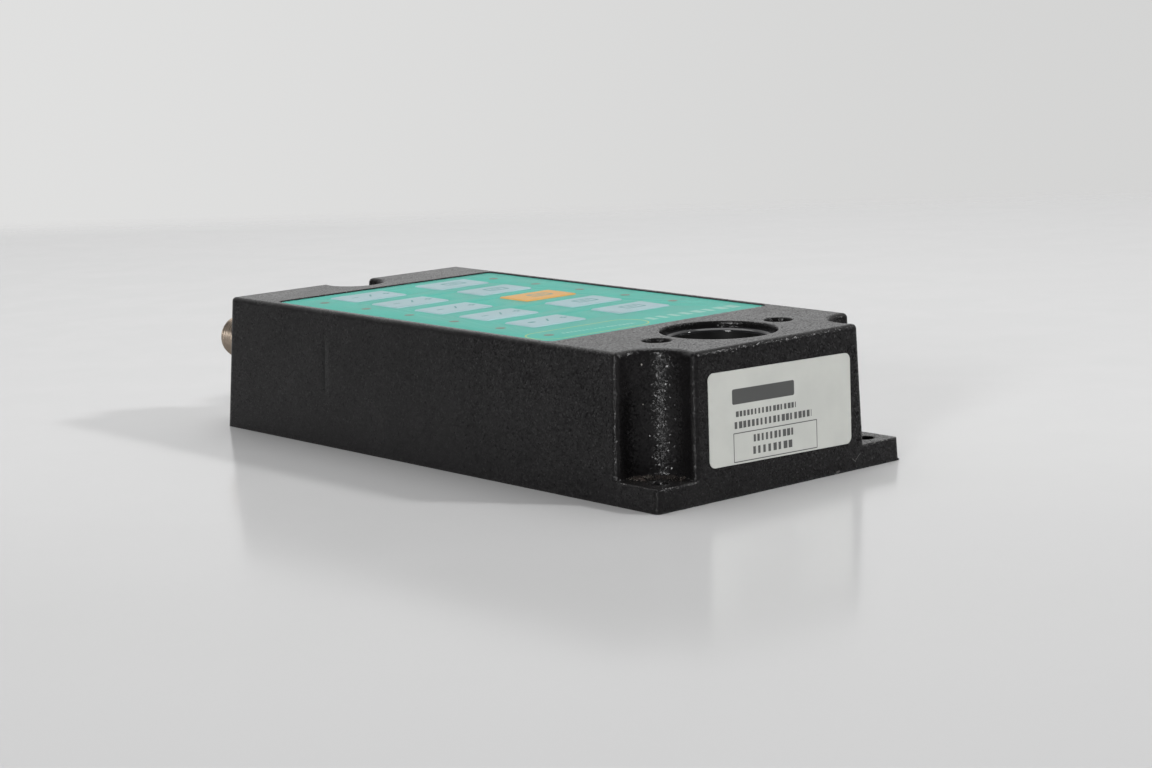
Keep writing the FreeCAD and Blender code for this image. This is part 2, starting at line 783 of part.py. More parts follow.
def make_optics_block():
    """A turned cup between two lugs, hung from the deck by the two sunk screws."""
    span = ("block_under", "optics_seat")
    cup = post("block_cup", "0", "bore_y", span, "block_radius")
    web = box("block_web", ("-optics_screw_x", "optics_screw_x"),
              around("bore_y", "2 * lug_radius"), span)
    lugs = [post(f"{side}_block_lug", f"{sign}optics_screw_x", "bore_y", span, "lug_radius")
            for side, sign in SIDES]
    holes = [post("block_bore", "0", "bore_y", ("block_under - wall", "optics_seat + wall"),
                  "barrel_radius + barrel_clearance")]
    for side, sign in SIDES:
        holes.append(post(f"{side}_block_thread", f"{sign}optics_screw_x", "bore_y",
                          ("well_floor - optics_screw_length - thread_clearance",
                           "optics_seat + wall"),
                          "optics_screw_radius + thread_clearance"))
        holes.append(post(f"{side}_detector_thread", f"{sign}detector_screw_x", "bore_y",
                          ("block_under - wall", "block_under + detector_screw_length"),
                          "detector_screw_radius + thread_clearance"))
    node(cut("optics_block", fuse("block_solid", cup, web, *lugs), *holes))
    node(group("optics_screws",
               [screw(f"{side}_optics_screw", f"{sign}optics_screw_x", "bore_y", "well_floor", 1,
                      ("optics_screw_radius", "optics_screw_length"),
                      ("optics_screw_head_radius", "optics_screw_head_height"))
                for side, sign in SIDES]))


def make_lens_group():
    axis = ("0", "bore_y", "0")
    node(turned("lens_barrel", axis, [
        ("barrel_throat_radius", "block_under + barrel_foot_gap"),
        ("barrel_radius", "block_under + barrel_foot_gap"),
        ("barrel_radius", "optics_seat"),
        ("barrel_flange_radius", "optics_seat"),
        ("barrel_flange_radius", "barrel_flange_top"),
        ("barrel_radius", "barrel_flange_top"),
        ("barrel_radius", "ledge"),
        ("barrel_mouth_radius", "ledge"),
        ("barrel_mouth_radius", "lens_seat"),
        ("barrel_throat_radius", "lens_seat"),
    ]))
    node(turned("barrel_seal", axis,
                ring("barrel_radius + barrel_clearance",
                     "barrel_flange_radius - seal_margin",
                     "barrel_flange_top", "deck_under")))
    disc = post("lens_disc", "0", "bore_y", ("lens_seat", "ledge"), "lens_radius")
    ball = primitive("Sphere", "lens_ball", ("0", "bore_y", "lens_ball_z"),
                     Radius="lens_curve_radius")
    lens = doc.addObject("Part::Common", "front_lens")
    lens.Base = disc
    lens.Tool = ball
    node(lens)
    node(turned("lens_retaining_ring", axis,
                ring("retainer_inner_radius", "barrel_mouth_radius - barrel_clearance",
                     "retainer_under + crown_gap", "retainer_under + retainer_thickness")))


def make_detector():
    span = ("detector_board_under", "block_under")
    disc = post("detector_disc", "0", "bore_y", span, "block_radius - detector_board_inset")
    bar = box("detector_bar", around("0", "2 * detector_screw_x + 2 * detector_screw_rim"),
              around("bore_y", "2 * lug_radius"), span)
    tail = box("detector_tail", around("0", "2 * detector_link_width"),
               ("bore_y", "detector_board_rear"), span)
    spots = [(f"{sign}detector_screw_x", "bore_y") for _, sign in SIDES]
    long_span = ("detector_board_under - wall", "block_under + wall")
    node(cut("detector_board", fuse("detector_panel", disc, bar, tail),
             *screw_holes("detector_board", spots, long_span, "detector_screw_radius")))
    node(group("detector_board_screws",
               [screw(f"detector_screw_{index}", x, y, "detector_board_under", -1,
                      ("detector_screw_radius", "detector_screw_length"),
                      ("2 * detector_screw_radius", "detector_screw_radius"))
                for index, (x, y) in enumerate(spots, start=1)]))
    node(box("color_detector", around("0", "detector_size"), around("bore_y", "detector_size"),
             ("block_under", "block_under + detector_height")))
    axis = ("0", "bore_y", "0")
    node(turned("light_baffle", axis,
                ring("baffle_radius - baffle_wall", "baffle_radius", "block_under",
                     "baffle_top")))
    node(turned("aperture_disc", axis,
                ring("aperture_radius", "baffle_radius", "baffle_top",
                     "baffle_top + aperture_thickness")))
    lights = []
    for index in range(LIGHTS):
        angle = FULL_TURN / LIGHTS * index
        x = f"light_circle_radius * cos({angle} deg)"
        y = f"bore_y + light_circle_radius * sin({angle} deg)"
        lights.append(post(f"light_{index + 1}", x, y,
                           ("block_under", "block_under + light_height"), "light_radius"))
    node(group("illumination_lights", lights))
    node(box("detector_link", around("0", "detector_link_width"),
             ("detector_board_rear - detector_link_depth", "detector_board_rear"),
             ("main_board_top", "detector_board_under")))


# Base

def make_base():
    span = ("0", "plate_thickness")
    inset = "rim + plate_clearance"
    head = "base_screw_head_radius"
    sink = f"{head} - base_screw_radius"
    panel = rebate("base_panel", inset, span)
    holes = []
    screws = []
    for index, (x, y) in enumerate(PILLARS, start=1):
        holes.append(post(f"base_hole_{index}", x, y, ("-wall", "plate_thickness + wall"),
                          "base_screw_radius + screw_hole_clearance"))
        holes.append(primitive("Cone", f"countersink_{index}", (x, y, "0"),
                               Radius1=f"{head} + screw_hole_clearance",
                               Radius2="base_screw_radius + screw_hole_clearance",
                               Height=sink))
        cone = primitive("Cone", f"base_screw_{index}_head", (x, y, "base_screw_sink"),
                         Radius1=f"{head} - base_screw_sink",
                         Radius2="base_screw_radius", Height=f"{sink} - base_screw_sink")
        shank = post(f"base_screw_{index}_shank", x, y, ("base_screw_sink", "base_screw_length"),
                     "base_screw_radius")
        key = hexagon(f"base_screw_{index}_key", x, y, ("0", "base_screw_radius"),
                      "base_screw_radius * 0.8")
        screws.append(cut(f"base_screw_{index}", fuse(f"base_screw_{index}_solid", cone, shank),
                          key))
    node(cut("base_plate", panel, *holes))
    node(group("base_screws", screws))
    span = ("plate_thickness", "gasket_top")
    wide = rebate("gasket_outline", inset, span)
    inside = rebate("gasket_opening", "wall", ("0", "gasket_top + wall"))
    node(cut("base_gasket", wide, inside))


# Rear sockets

def contact_spots(x):
    """X and Z rule of the contacts of one socket: four on a circle and one in the middle."""
    spots = [(x, "socket_z")]
    for index in range(CONTACTS - 1):
        angle = FULL_TURN / (CONTACTS - 1) * (index + 0.5)
        spots.append((f"{x} + contact_circle_radius * cos({angle} deg)",
                      f"socket_z + contact_circle_radius * sin({angle} deg)"))
    return spots


def make_socket(side, sign):
    x = f"{sign}socket_x"
    axis = (x, "0", "socket_z")
    node(turned(f"{side}_socket_shell", axis, [
        ("socket_bore_radius", "neck_end"),
        ("socket_neck_radius", "neck_end"),
        ("socket_neck_radius", "seal_back"),
        ("socket_flange_radius", "seal_back"),
        ("socket_flange_radius", "nose_start"),
        ("socket_nose_radius", "nose_start"),
        ("socket_nose_radius", "nose_end"),
        ("socket_bore_radius", "nose_end"),
    ], "+y"))
    node(turned(f"{side}_socket_seal", axis,
                ring("socket_neck_radius + socket_clearance", "socket_flange_radius",
                     "half_length", "seal_back"), "+y"))
    outer = primitive("Prism", f"{side}_nut_hexagon", (x, "nut_seat - nut_thickness", "socket_z"),
                      "+y", Circumradius="nut_across_flats / (2 * cos(30 deg))",
                      Height="nut_thickness")
    outer.Polygon = 6
    outer.Placement.Rotation = TURNS["+y"] * FreeCAD.Rotation(FreeCAD.Vector(0, 0, 1), 30)
    opening = rod(f"{side}_nut_opening", x, "socket_z",
                  ("nut_seat - nut_thickness - wall", "nut_seat + wall"),
                  "socket_neck_radius + socket_clearance")
    node(cut(f"{side}_socket_nut", outer, opening))
    spots = list(enumerate(contact_spots(x), start=1))
    holes = [rod(f"{side}_contact_hole_{index}", cx, cz, ("neck_end - wall", "nose_end"),
                 "contact_radius + thread_clearance") for index, (cx, cz) in spots]
    plug = rod(f"{side}_insert_plug", x, "socket_z", ("neck_end", "insert_face"),
               "socket_bore_radius - socket_clearance")
    node(cut(f"{side}_socket_insert", plug, *holes))
    back = "neck_end - solder_board_thickness"
    node(group(f"{side}_socket_contacts",
               [rod(f"{side}_contact_{index}", cx, cz,
                    ("tail_end", "insert_face - contact_recess"), "contact_radius")
                for index, (cx, cz) in spots]))
    tails = [rod(f"{side}_tail_hole_{index}", cx, cz, (f"{back} - wall", "neck_end + wall"),
                 "contact_radius + thread_clearance") for index, (cx, cz) in spots]
    disc = rod(f"{side}_solder_disc", x, "socket_z", (back, "neck_end"), "solder_board_radius")
    node(cut(f"{side}_socket_board", disc, *tails))


# Label

def make_label():
    """The plate lies on the leaning front wall, stuck on a little out of level."""
    half_w = "label_width / 2"
    half_h = "label_height / 2"
    lean = math.degrees(math.atan(number("front_lean / housing_height")))
    rotation = (FreeCAD.Rotation(FreeCAD.Vector(1, 0, 0), 90 - lean)
                * FreeCAD.Rotation(FreeCAD.Vector(0, 0, 1), number("label_turn")))
    at = ("0", "front_lean * label_centre_z / housing_height - half_length - label_glue",
          "label_centre_z")
    outline = [(f"-{half_w}", f"-{half_h}"), (half_w, f"-{half_h}"), (half_w, half_h),
               (f"-{half_w}", half_h)]
    body = padded_plate("label_plate", at, outline, "label_thickness", rotation)
    doc.recompute()
    rounding = body.newObject("PartDesign::Fillet", "label_corners")
    pad = body.Group[-2]
    corners = [f"Edge{index}" for index, edge in enumerate(pad.Shape.Edges, start=1)
               if abs(edge.Length - number("label_thickness")) < EPSILON]
    rounding.Base = (pad, corners)
    rounding.setExpression("Radius", rule("label_corner_radius"))
    body.Tip = rounding
    node(body)


def check_and_export():
    """Stop on any failed object, then write one file for each sub-part."""
    doc.recompute()
    for item in doc.Objects:
        if "Invalid" in item.State or "Error" in item.State:
            raise RuntimeError(f"{item.Name} did not build: {item.State}")
    os.makedirs("parts", exist_ok=True)
    for piece in nodes:
        shape = piece.Shape
        if shape.isNull() or not shape.isValid() or not shape.Solids:
            raise RuntimeError(f"{piece.Label} has no valid solid")
        shape.exportStep(os.path.join("parts", piece.Label + ".step"))
        print(f"{piece.Label}: {len(shape.Solids)} solids, {shape.Volume:.0f} mm3")


make_housing()
make_overlay()
make_key_caps()
make_switches()
make_indicators()
make_keypad_board()
make_main_board()
make_components()
make_optics_block()
make_lens_group()
make_detector()
make_base()
for side_name, side_sign in SIDES:
    make_socket(side_name, side_sign)
make_label()
check_and_export()
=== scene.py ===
"""Looks of a colour sensor in a black die-cast housing with a teal keypad film.

Sizes are millimetres until a mesh, a lamp or the camera is made, where MM turns them into metres.
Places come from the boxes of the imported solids. Patterns read Object coordinates, in millimetres.
"""
import math

import bmesh
import bpy
import numpy as np
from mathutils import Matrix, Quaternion, Vector


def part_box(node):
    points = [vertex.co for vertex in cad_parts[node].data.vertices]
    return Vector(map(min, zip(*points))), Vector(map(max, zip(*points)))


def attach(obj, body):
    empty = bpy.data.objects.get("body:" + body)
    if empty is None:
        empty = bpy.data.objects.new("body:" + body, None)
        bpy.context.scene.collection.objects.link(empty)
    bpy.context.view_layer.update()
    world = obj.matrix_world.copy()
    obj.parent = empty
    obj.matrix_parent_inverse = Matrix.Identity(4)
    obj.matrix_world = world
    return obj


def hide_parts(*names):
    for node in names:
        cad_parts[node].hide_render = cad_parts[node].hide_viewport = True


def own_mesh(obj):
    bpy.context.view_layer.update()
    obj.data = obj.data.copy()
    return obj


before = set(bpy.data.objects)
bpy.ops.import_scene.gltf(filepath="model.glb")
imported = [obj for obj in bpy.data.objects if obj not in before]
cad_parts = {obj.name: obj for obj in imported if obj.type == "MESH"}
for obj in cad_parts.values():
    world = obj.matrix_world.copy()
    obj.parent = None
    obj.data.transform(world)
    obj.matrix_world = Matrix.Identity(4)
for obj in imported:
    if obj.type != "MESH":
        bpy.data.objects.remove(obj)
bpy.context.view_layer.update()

MM = 0.001
BODY = "sensor_body"
KEYS = range(1, 11)
KEYS_PER_ROW = 5
FULL_TURN = 2 * math.pi


def span(node):
    """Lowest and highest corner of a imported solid, in millimetres."""
    low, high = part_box(node)
    return np.array(low) / MM, np.array(high) / MM


def middle(node):
    return sum(span(node)) / 2


# Measures of the object

FILM_THICKNESS = 0.3
FILM_CORNER = 2.0
EMBOSS = 0.35
film_low, film_high = span("keypad_overlay")
film_top = film_high[2] - EMBOSS
film_centre = (film_low + film_high) / 2
key_centres = {key: middle(f"key_cap_{key}") for key in KEYS}
key_pitch = key_centres[2][1] - key_centres[1][1]
FIELD_HALF = np.array([9.4, 6.2])
FIELD_CORNER = 1.1
FIELD_SHIFT = np.array([-0.6, 0.0])
INDICATOR_X = 30.8
INDICATOR_LEAD = 0.6
INDICATOR_RADIUS = 1.4
ORANGE_KEY = 8
bore_centre = middle("lens_barrel")
BORE_RADIUS = 15.2
SCOOP_FOOT = np.array([-37.8, -83.6, 6.0])
SCOOP_RADIUS = 9.1
MERGE_DISTANCE = 1e-7  # in metres, as meshes are


# Meshes from grids of points

def grid_faces(rows, columns, wrap_rows=False):
    """Quads of a grid of points counted row by row; the columns always close on themselves."""
    row, column = np.meshgrid(np.arange(rows if wrap_rows else rows - 1), np.arange(columns),
                              indexing="ij")
    after_row, after_column = (row + 1) % rows, (column + 1) % columns
    corners = [row * columns + column, row * columns + after_column,
               after_row * columns + after_column, after_row * columns + column]
    return np.stack(corners, -1).reshape(-1, 4)


def new_piece(name, points, faces, finish, sharp=35, body=BODY):
    """A piece from points in millimetres, riding on a body.

    Doubles are merged, faces turned outwards and edges over the sharp angle kept crisp.
    """
    mesh = bpy.data.meshes.new(name)
    mesh.from_pydata((np.asarray(points).reshape(-1, 3) * MM).tolist(), [], faces.tolist())
    cleaner = bmesh.new()
    cleaner.from_mesh(mesh)
    bmesh.ops.remove_doubles(cleaner, verts=cleaner.verts, dist=MERGE_DISTANCE)
    bmesh.ops.dissolve_degenerate(cleaner, edges=cleaner.edges, dist=MERGE_DISTANCE)
    bmesh.ops.recalc_face_normals(cleaner, faces=cleaner.faces)
    cleaner.to_mesh(mesh)
    cleaner.free()
    mesh.shade_smooth()
    mesh.set_sharp_from_angle(angle=math.radians(sharp))
    mesh.materials.append(finish)
    piece = bpy.data.objects.new(name, mesh)
    bpy.context.scene.collection.objects.link(piece)
    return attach(piece, body)


def rounded_outline(half_x, half_y, radius, corner_points=9):
    """Points round a rectangle with round corners: a quarter circle about each corner's centre."""
    quarter = np.linspace(0, math.pi / 2, corner_points)
    turns = quarter[None, :] + np.arange(4)[:, None] * math.pi / 2
    centre_x = np.array([1, -1, -1, 1])[:, None] * (half_x - radius)
    centre_y = np.array([1, 1, -1, -1])[:, None] * (half_y - radius)
    outline = [centre_x + radius * np.cos(turns), centre_y + radius * np.sin(turns)]
    return np.stack(outline, -1).reshape(-1, 2)


def lofted(rings):
    """Points and faces of a closed shape from rings of equal length, with a pole at each end."""
    rings = np.asarray(rings)
    ends = [np.broadcast_to(ring.mean(0), ring.shape) for ring in (rings[0], rings[-1])]
    points = np.concatenate([ends[:1], rings, ends[1:]])
    return points, grid_faces(len(points), points.shape[1])


def turned(profile, centre, columns=72, axis="z"):
    """Points and faces of a lathe shape: a closed line of (radius, height) swept round an axis."""
    radius, height = np.array(profile, float).T
    turn = np.arange(columns) / columns * FULL_TURN
    across = radius[:, None] * np.cos(turn)
    along = radius[:, None] * np.sin(turn)
    rise = np.broadcast_to(height[:, None], across.shape)
    order = (across, along, rise) if axis == "z" else (across, rise, along)
    return np.stack(order, -1) + np.asarray(centre), grid_faces(len(radius), columns, True)


# Shader nodes

def feed(tree, value, socket):
    """Give a socket a number, a colour or another node's output."""
    if isinstance(value, bpy.types.NodeSocket):
        tree.links.new(value, socket)
    else:
        socket.default_value = value


def add(tree, kind, inputs=None, **settings):
    """One shader node with its settings and the values of its inputs."""
    node = tree.nodes.new("ShaderNode" + kind)
    for setting, value in settings.items():
        setattr(node, setting, value)
    for socket, value in (inputs or {}).items():
        feed(tree, value, node.inputs[socket])
    return node


def compute(tree, operation, *values, clamp=False):
    """One Math node."""
    node = add(tree, "Math", operation=operation, use_clamp=clamp)
    for socket, value in zip(node.inputs, values):
        feed(tree, value, socket)
    return node.outputs[0]


def blend_colours(tree, share, first, second):
    """One Mix node; its colours go in at sockets 6 and 7 and come out at socket 2."""
    node = add(tree, "Mix", data_type="RGBA")
    for index, value in ((0, share), (6, first), (7, second)):
        feed(tree, value, node.inputs[index])
    return node.outputs[2]


def ramp(tree, value, low, high, out_low=0.0, out_high=1.0):
    """A value carried from one range to another in a smooth step."""
    inputs = {"Value": value, "From Min": low, "From Max": high,
              "To Min": out_low, "To Max": out_high}
    node = add(tree, "MapRange", inputs, interpolation_type="SMOOTHSTEP")
    return node.outputs["Result"]


def split(tree, vector):
    return add(tree, "SeparateXYZ", {"Vector": vector}).outputs


def join(tree, x=0.0, y=0.0, z=0.0):
    return add(tree, "CombineXYZ", {"X": x, "Y": y, "Z": z}).outputs[0]


def noise(tree, position, size, detail=2.0, roughness=0.5):
    inputs = {"Vector": position, "Scale": size, "Detail": detail, "Roughness": roughness}
    return add(tree, "TexNoise", inputs).outputs["Fac"]


def per_mm(tree, millimetres):
    """A pattern's scale from the size of its grain."""
    return compute(tree, "DIVIDE", 1.0, millimetres)


def make_group(name, inputs, outputs):
    """An empty node group with named sockets; returns its tree, its inputs and its output node."""
    tree = bpy.data.node_groups.new(name, "ShaderNodeTree")
    for label, (kind, value) in inputs.items():
        socket = tree.interface.new_socket(label, in_out="INPUT", socket_type="NodeSocket" + kind)
        if kind != "Vector":
            socket.default_value = value
    for label, kind in outputs.items():
        tree.interface.new_socket(label, in_out="OUTPUT", socket_type="NodeSocket" + kind)
    entry = tree.nodes.new("NodeGroupInput")
    return tree, entry.outputs, tree.nodes.new("NodeGroupOutput")


def use(tree, group, **inputs):
    """A node group placed in a material; spaces in its socket names are written as underscores."""
    node = add(tree, "Group", node_tree=group)
    for label, value in inputs.items():
        feed(tree, value, node.inputs[label.replace("_", " ")])
    return node.outputs


def grain_group():
    """Fine rounded grains: the height falls from each cell's middle, roughened by a finer noise."""
    tree, entry, out = make_group("grain", {"Position": ("Vector", None), "Size": ("Float", 0.4)},
                                  {"Height": "Float", "Tint": "Float"})
    finer, slower = 2.3, 0.03
    scale = per_mm(tree, entry["Size"])
    cells = add(tree, "TexVoronoi", {"Vector": entry["Position"], "Scale": scale},
                feature="SMOOTH_F1")
    fine = noise(tree, entry["Position"], compute(tree, "MULTIPLY", scale, finer))
    height = compute(tree, "SUBTRACT", fine, cells.outputs["Distance"])
    feed(tree, height, out.inputs["Height"])
    slow = noise(tree, entry["Position"], compute(tree, "MULTIPLY", scale, slower), detail=4.0)
    feed(tree, slow, out.inputs["Tint"])
    return tree


def flakes_group():
    """Flat flakes on softened edges: each cell leans its own way, mostly little, seldom much."""
    soft_edge = 1.4
    middle_colour = (0.5, 0.5, 0.5)
    tree, entry, out = make_group("flakes", {"Position": ("Vector", None), "Size": ("Float", 0.4),
                                             "Tilt": ("Float", 0.5)}, {"Normal": "Vector"})
    cells = add(tree, "TexVoronoi", {"Vector": entry["Position"],
                                     "Scale": per_mm(tree, entry["Size"])})
    lean = add(tree, "VectorMath", operation="SUBTRACT")
    feed(tree, cells.outputs["Color"], lean.inputs[0])
    lean.inputs[1].default_value = middle_colour
    size = add(tree, "VectorMath", operation="LENGTH")
    feed(tree, lean.outputs[0], size.inputs[0])
    leaning = add(tree, "VectorMath", operation="MULTIPLY_ADD")
    feed(tree, lean.outputs[0], leaning.inputs[0])
    feed(tree, compute(tree, "MULTIPLY", size.outputs["Value"], entry["Tilt"]), leaning.inputs[1])
    softened = add(tree, "Bevel", {"Radius": soft_edge * MM}, samples=8)
    feed(tree, softened.outputs[0], leaning.inputs[2])
    unit = add(tree, "VectorMath", operation="NORMALIZE")
    feed(tree, leaning.outputs[0], unit.inputs[0])
    feed(tree, unit.outputs[0], out.inputs["Normal"])
    return tree


def specks_group():
    """Sparse dots: cells whose random share is under Amount carry a dot in their middle."""
    inputs = {"Position": ("Vector", None), "Spacing": ("Float", 2.0),
              "Amount": ("Float", 0.1), "Radius": ("Float", 0.1)}
    tree, entry, out = make_group("specks", inputs, {"Mask": "Float"})
    cells = add(tree, "TexVoronoi", {"Vector": entry["Position"],
                                     "Scale": per_mm(tree, entry["Spacing"])})
    chance, growth, _ = split(tree, cells.outputs["Color"])
    chosen = compute(tree, "LESS_THAN", chance, entry["Amount"])
    reach = compute(tree, "DIVIDE", entry["Radius"], entry["Spacing"])
    size = compute(tree, "MULTIPLY", reach, compute(tree, "ADD", 0.5, growth))
    inside = compute(tree, "LESS_THAN", cells.outputs["Distance"], size)
    feed(tree, compute(tree, "MULTIPLY", chosen, inside), out.inputs["Mask"])
    return tree


def edges_group():
    """Edges and corners: how far the surface turns within Reach, broken up by a noise."""
    tree, entry, out = make_group("edges", {"Position": ("Vector", None), "Reach": ("Float", 0.5)},
                                  {"Mask": "Float"})
    reach = compute(tree, "MULTIPLY", entry["Reach"], MM)
    bevel = add(tree, "Bevel", {"Radius": reach}, samples=6)
    surface = add(tree, "NewGeometry").outputs["Normal"]
    alike = add(tree, "VectorMath", operation="DOT_PRODUCT")
    feed(tree, bevel.outputs[0], alike.inputs[0])
    feed(tree, surface, alike.inputs[1])
    turn = compute(tree, "SUBTRACT", 1.0, alike.outputs["Value"])
    patches = noise(tree, entry["Position"], 1.4, detail=4.0, roughness=0.7)
    broken = ramp(tree, patches, 0.42, 0.62)
    flat_enough, sharp_enough = 0.01, 0.12
    edge = ramp(tree, turn, flat_enough, sharp_enough)
    feed(tree, compute(tree, "MULTIPLY", edge, broken), out.inputs["Mask"])
    return tree


def print_group():
    """A printed rounded rectangle, as its outline when Line is over 0 and filled otherwise.

    The distance to its rim is the length of the part of the folded point beyond the inner
    rectangle, less the corner radius, plus the negative part inside.
    """
    inputs = {"Position": ("Vector", None), "Half X": ("Float", 1.0), "Half Y": ("Float", 1.0),
              "Corner": ("Float", 0.2), "Line": ("Float", 0.0)}
    tree, entry, out = make_group("printed_shape", inputs, {"Mask": "Float"})
    place = split(tree, entry["Position"])
    folded = []
    for axis, half in ((0, "Half X"), (1, "Half Y")):
        inner = compute(tree, "SUBTRACT", entry[half], entry["Corner"])
        folded.append(compute(tree, "SUBTRACT", compute(tree, "ABSOLUTE", place[axis]), inner))
    beyond = add(tree, "VectorMath", operation="LENGTH")
    feed(tree, join(tree, *(compute(tree, "MAXIMUM", side, 0.0) for side in folded)),
         beyond.inputs[0])
    within = compute(tree, "MINIMUM", compute(tree, "MAXIMUM", *folded), 0.0)
    distance = compute(tree, "SUBTRACT", compute(tree, "ADD", beyond.outputs["Value"], within),
                       entry["Corner"])
    outline = compute(tree, "SUBTRACT", compute(tree, "ABSOLUTE", distance),
                      compute(tree, "MULTIPLY", entry["Line"], 0.5))
    is_outline = compute(tree, "GREATER_THAN", entry["Line"], 0.0)
    is_filled = compute(tree, "SUBTRACT", 1.0, is_outline)
    chosen = compute(tree, "ADD", compute(tree, "MULTIPLY", is_outline, outline),
                     compute(tree, "MULTIPLY", is_filled, distance))
    blur = 0.02
    feed(tree, ramp(tree, chosen, -blur, blur, 1.0, 0.0), out.inputs["Mask"])
    return tree


def dashes_group():
    """One row of short printed dashes of uneven length, with a dash left out here and there."""
    shortest, longer_by, left_out = 0.45, 0.35, 0.1
    inputs = {"Position": ("Vector", None), "Half X": ("Float", 10.0),
              "Half Y": ("Float", 0.5), "Pitch": ("Float", 1.4)}
    tree, entry, out = make_group("dashes", inputs, {"Mask": "Float"})
    place = split(tree, entry["Position"])
    steps = compute(tree, "DIVIDE", place[0], entry["Pitch"])
    cell = compute(tree, "FLOOR", steps)
    chance = add(tree, "TexWhiteNoise", {"W": cell}, noise_dimensions="1D")
    shares = split(tree, chance.outputs["Color"])
    length = compute(tree, "MULTIPLY_ADD", shares[0], longer_by, shortest)
    marks = [compute(tree, "LESS_THAN", compute(tree, "FRACT", steps), length),
             compute(tree, "GREATER_THAN", shares[1], left_out),
             compute(tree, "LESS_THAN", compute(tree, "ABSOLUTE", place[0]), entry["Half X"]),
             compute(tree, "LESS_THAN", compute(tree, "ABSOLUTE", place[1]), entry["Half Y"])]
    total = marks[0]
    for mark in marks[1:]:
        total = compute(tree, "MULTIPLY", total, mark)
    feed(tree, total, out.inputs["Mask"])
    return tree


GRAIN = grain_group()
FLAKES = flakes_group()
SPECKS = specks_group()
EDGES = edges_group()
PRINT = print_group()
DASHES = dashes_group()


# Finishes

DRIFT = (0.3, 0.7)  # the part of the slow noise over which a colour or a roughness changes
COAT_DARK, COAT_LIGHT = (0.0060, 0.0056, 0.0058, 1), (0.0090, 0.0084, 0.0087, 1)
# Paler edge colour: bare metal where the coat is worn, and painted highlight where edges catch the
# light
BARE_METAL_AND_HIGHLIGHT = (0.36, 0.35, 0.34, 1)
COAT_DUST = (0.42, 0.40, 0.37, 1)
# Paler tone laid on faces that turn upwards
COAT_UPWARD_PALE = (0.30, 0.29, 0.28, 1)
SCRATCH_GREY = (0.35, 0.34, 0.33, 1)
TEAL = (0.050, 0.385, 0.310, 1)
FIELD_PALE = (0.308, 0.443, 0.472, 1)
FIELD_ORANGE = (0.620, 0.340, 0.095, 1)
LEGEND = (0.070, 0.260, 0.260, 1)
OUTLINE_YELLOW = (0.44, 0.50, 0.15, 1)
DASH_MINT = (0.27, 0.53, 0.46, 1)
FILM_DUST = (0.70, 0.70, 0.66, 1)
LABEL_DARK, LABEL_LIGHT = (0.53, 0.54, 0.51, 1), (0.57, 0.58, 0.545, 1)
LABEL_INK = (0.02, 0.02, 0.022, 1)
LABEL_DUST = (0.16, 0.13, 0.10, 1)
LAMINATE, LAMINATE_LIGHT = (0.012, 0.10, 0.045, 1), (0.016, 0.13, 0.055, 1)
TRACKS = (0.03, 0.19, 0.08, 1)

# Marks on the front wall: (centre, half sizes, corner, line width, turn), seen from the front
SCRATCHES = (((25.9, 2.6), (0.8, 0.07), 0.05, 0.0, -38.0),
             ((27.3, 3.2), (1.2, 0.07), 0.05, 0.0, 40.0),
             ((19.8, 0.5), (0.7, 0.25), 0.2, 0.0, 8.0))
FRONT_WALL_Y = -88.0

# Sink mark on the left wall, shown only by painted light and shade: where it fades in x and z, and
# its painted highlight band and painted shade band (rise, fall, tone) along y
SINK_WALL, SINK_FOOT, SINK_TOP = (-40.5, -40.0), (12.0, 18.0), (27.0, 33.0)
SINK_LIGHT_AND_SHADE_BANDS = (((40.0, 42.8), (42.9, 43.2), 0.018),
              ((42.9, 43.2), (43.4, 45.6), 0.0))


def start_finish(name, **sockets):
    """A material with a Principled shader; returns the material, its tree, shader and position."""
    material = bpy.data.materials.new(name)
    material.use_nodes = True
    tree = material.node_tree
    shader = tree.nodes["Principled BSDF"]
    for label, value in sockets.items():
        shader.inputs[label.replace("_", " ")].default_value = value
    place = add(tree, "TexCoord").outputs["Object"]
    scaled = add(tree, "VectorMath", operation="SCALE", inputs={"Scale": 1 / MM})
    feed(tree, place, scaled.inputs[0])
    return material, tree, shader, scaled.outputs[0]


def bumped(tree, shader, height, depth, under=None):
    """Relief of a given depth in millimetres, laid over another normal where one is given."""
    bump = add(tree, "Bump", {"Strength": 1.0, "Distance": depth * MM, "Height": height})
    if under:
        feed(tree, under, bump.inputs["Normal"])
    feed(tree, bump.outputs["Normal"], shader.inputs["Normal"])


def placed(tree, position, centre, turn=0.0, flat="xy"):
    """Coordinates on a flat face, measured from a centre and turned about it, in degrees."""
    x, y, z = split(tree, position)
    across = join(tree, x, y) if flat == "xy" else join(tree, x, z)
    angle = math.radians(turn)
    shifted = add(tree, "VectorMath", operation="SUBTRACT")
    feed(tree, across, shifted.inputs[0])
    shifted.inputs[1].default_value = (*centre, 0)
    turned_back = add(tree, "VectorRotate", {"Vector": shifted.outputs[0], "Angle": -angle},
                      rotation_type="Z_AXIS")
    return turned_back.outputs[0]


def print_mask(tree, position, shape, flat="xy"):
    """Mask of one printed shape: (centre, half sizes, corner, line width, turn)."""
    centre, half, corner, line, turn = shape
    local = placed(tree, position, centre, turn, flat)
    return use(tree, PRINT, Position=local, Half_X=half[0], Half_Y=half[1],
               Corner=corner, Line=line)["Mask"]


def dash_mask(tree, position, row, flat="xy"):
    """Mask of one row of dashes: (centre, half sizes, pitch, turn)."""
    centre, half, pitch, turn = row
    local = placed(tree, position, centre, turn, flat)
    return use(tree, DASHES, Position=local, Half_X=half[0], Half_Y=half[1], Pitch=pitch)["Mask"]


def any_of(tree, masks):
    total = masks[0]
    for mask in masks[1:]:
        total = compute(tree, "MAXIMUM", total, mask)
    return total


def drifting(tree, skin, first, second):
    """A colour that wanders slowly between two tones."""
    return blend_colours(tree, ramp(tree, skin["Tint"], *DRIFT), first, second)


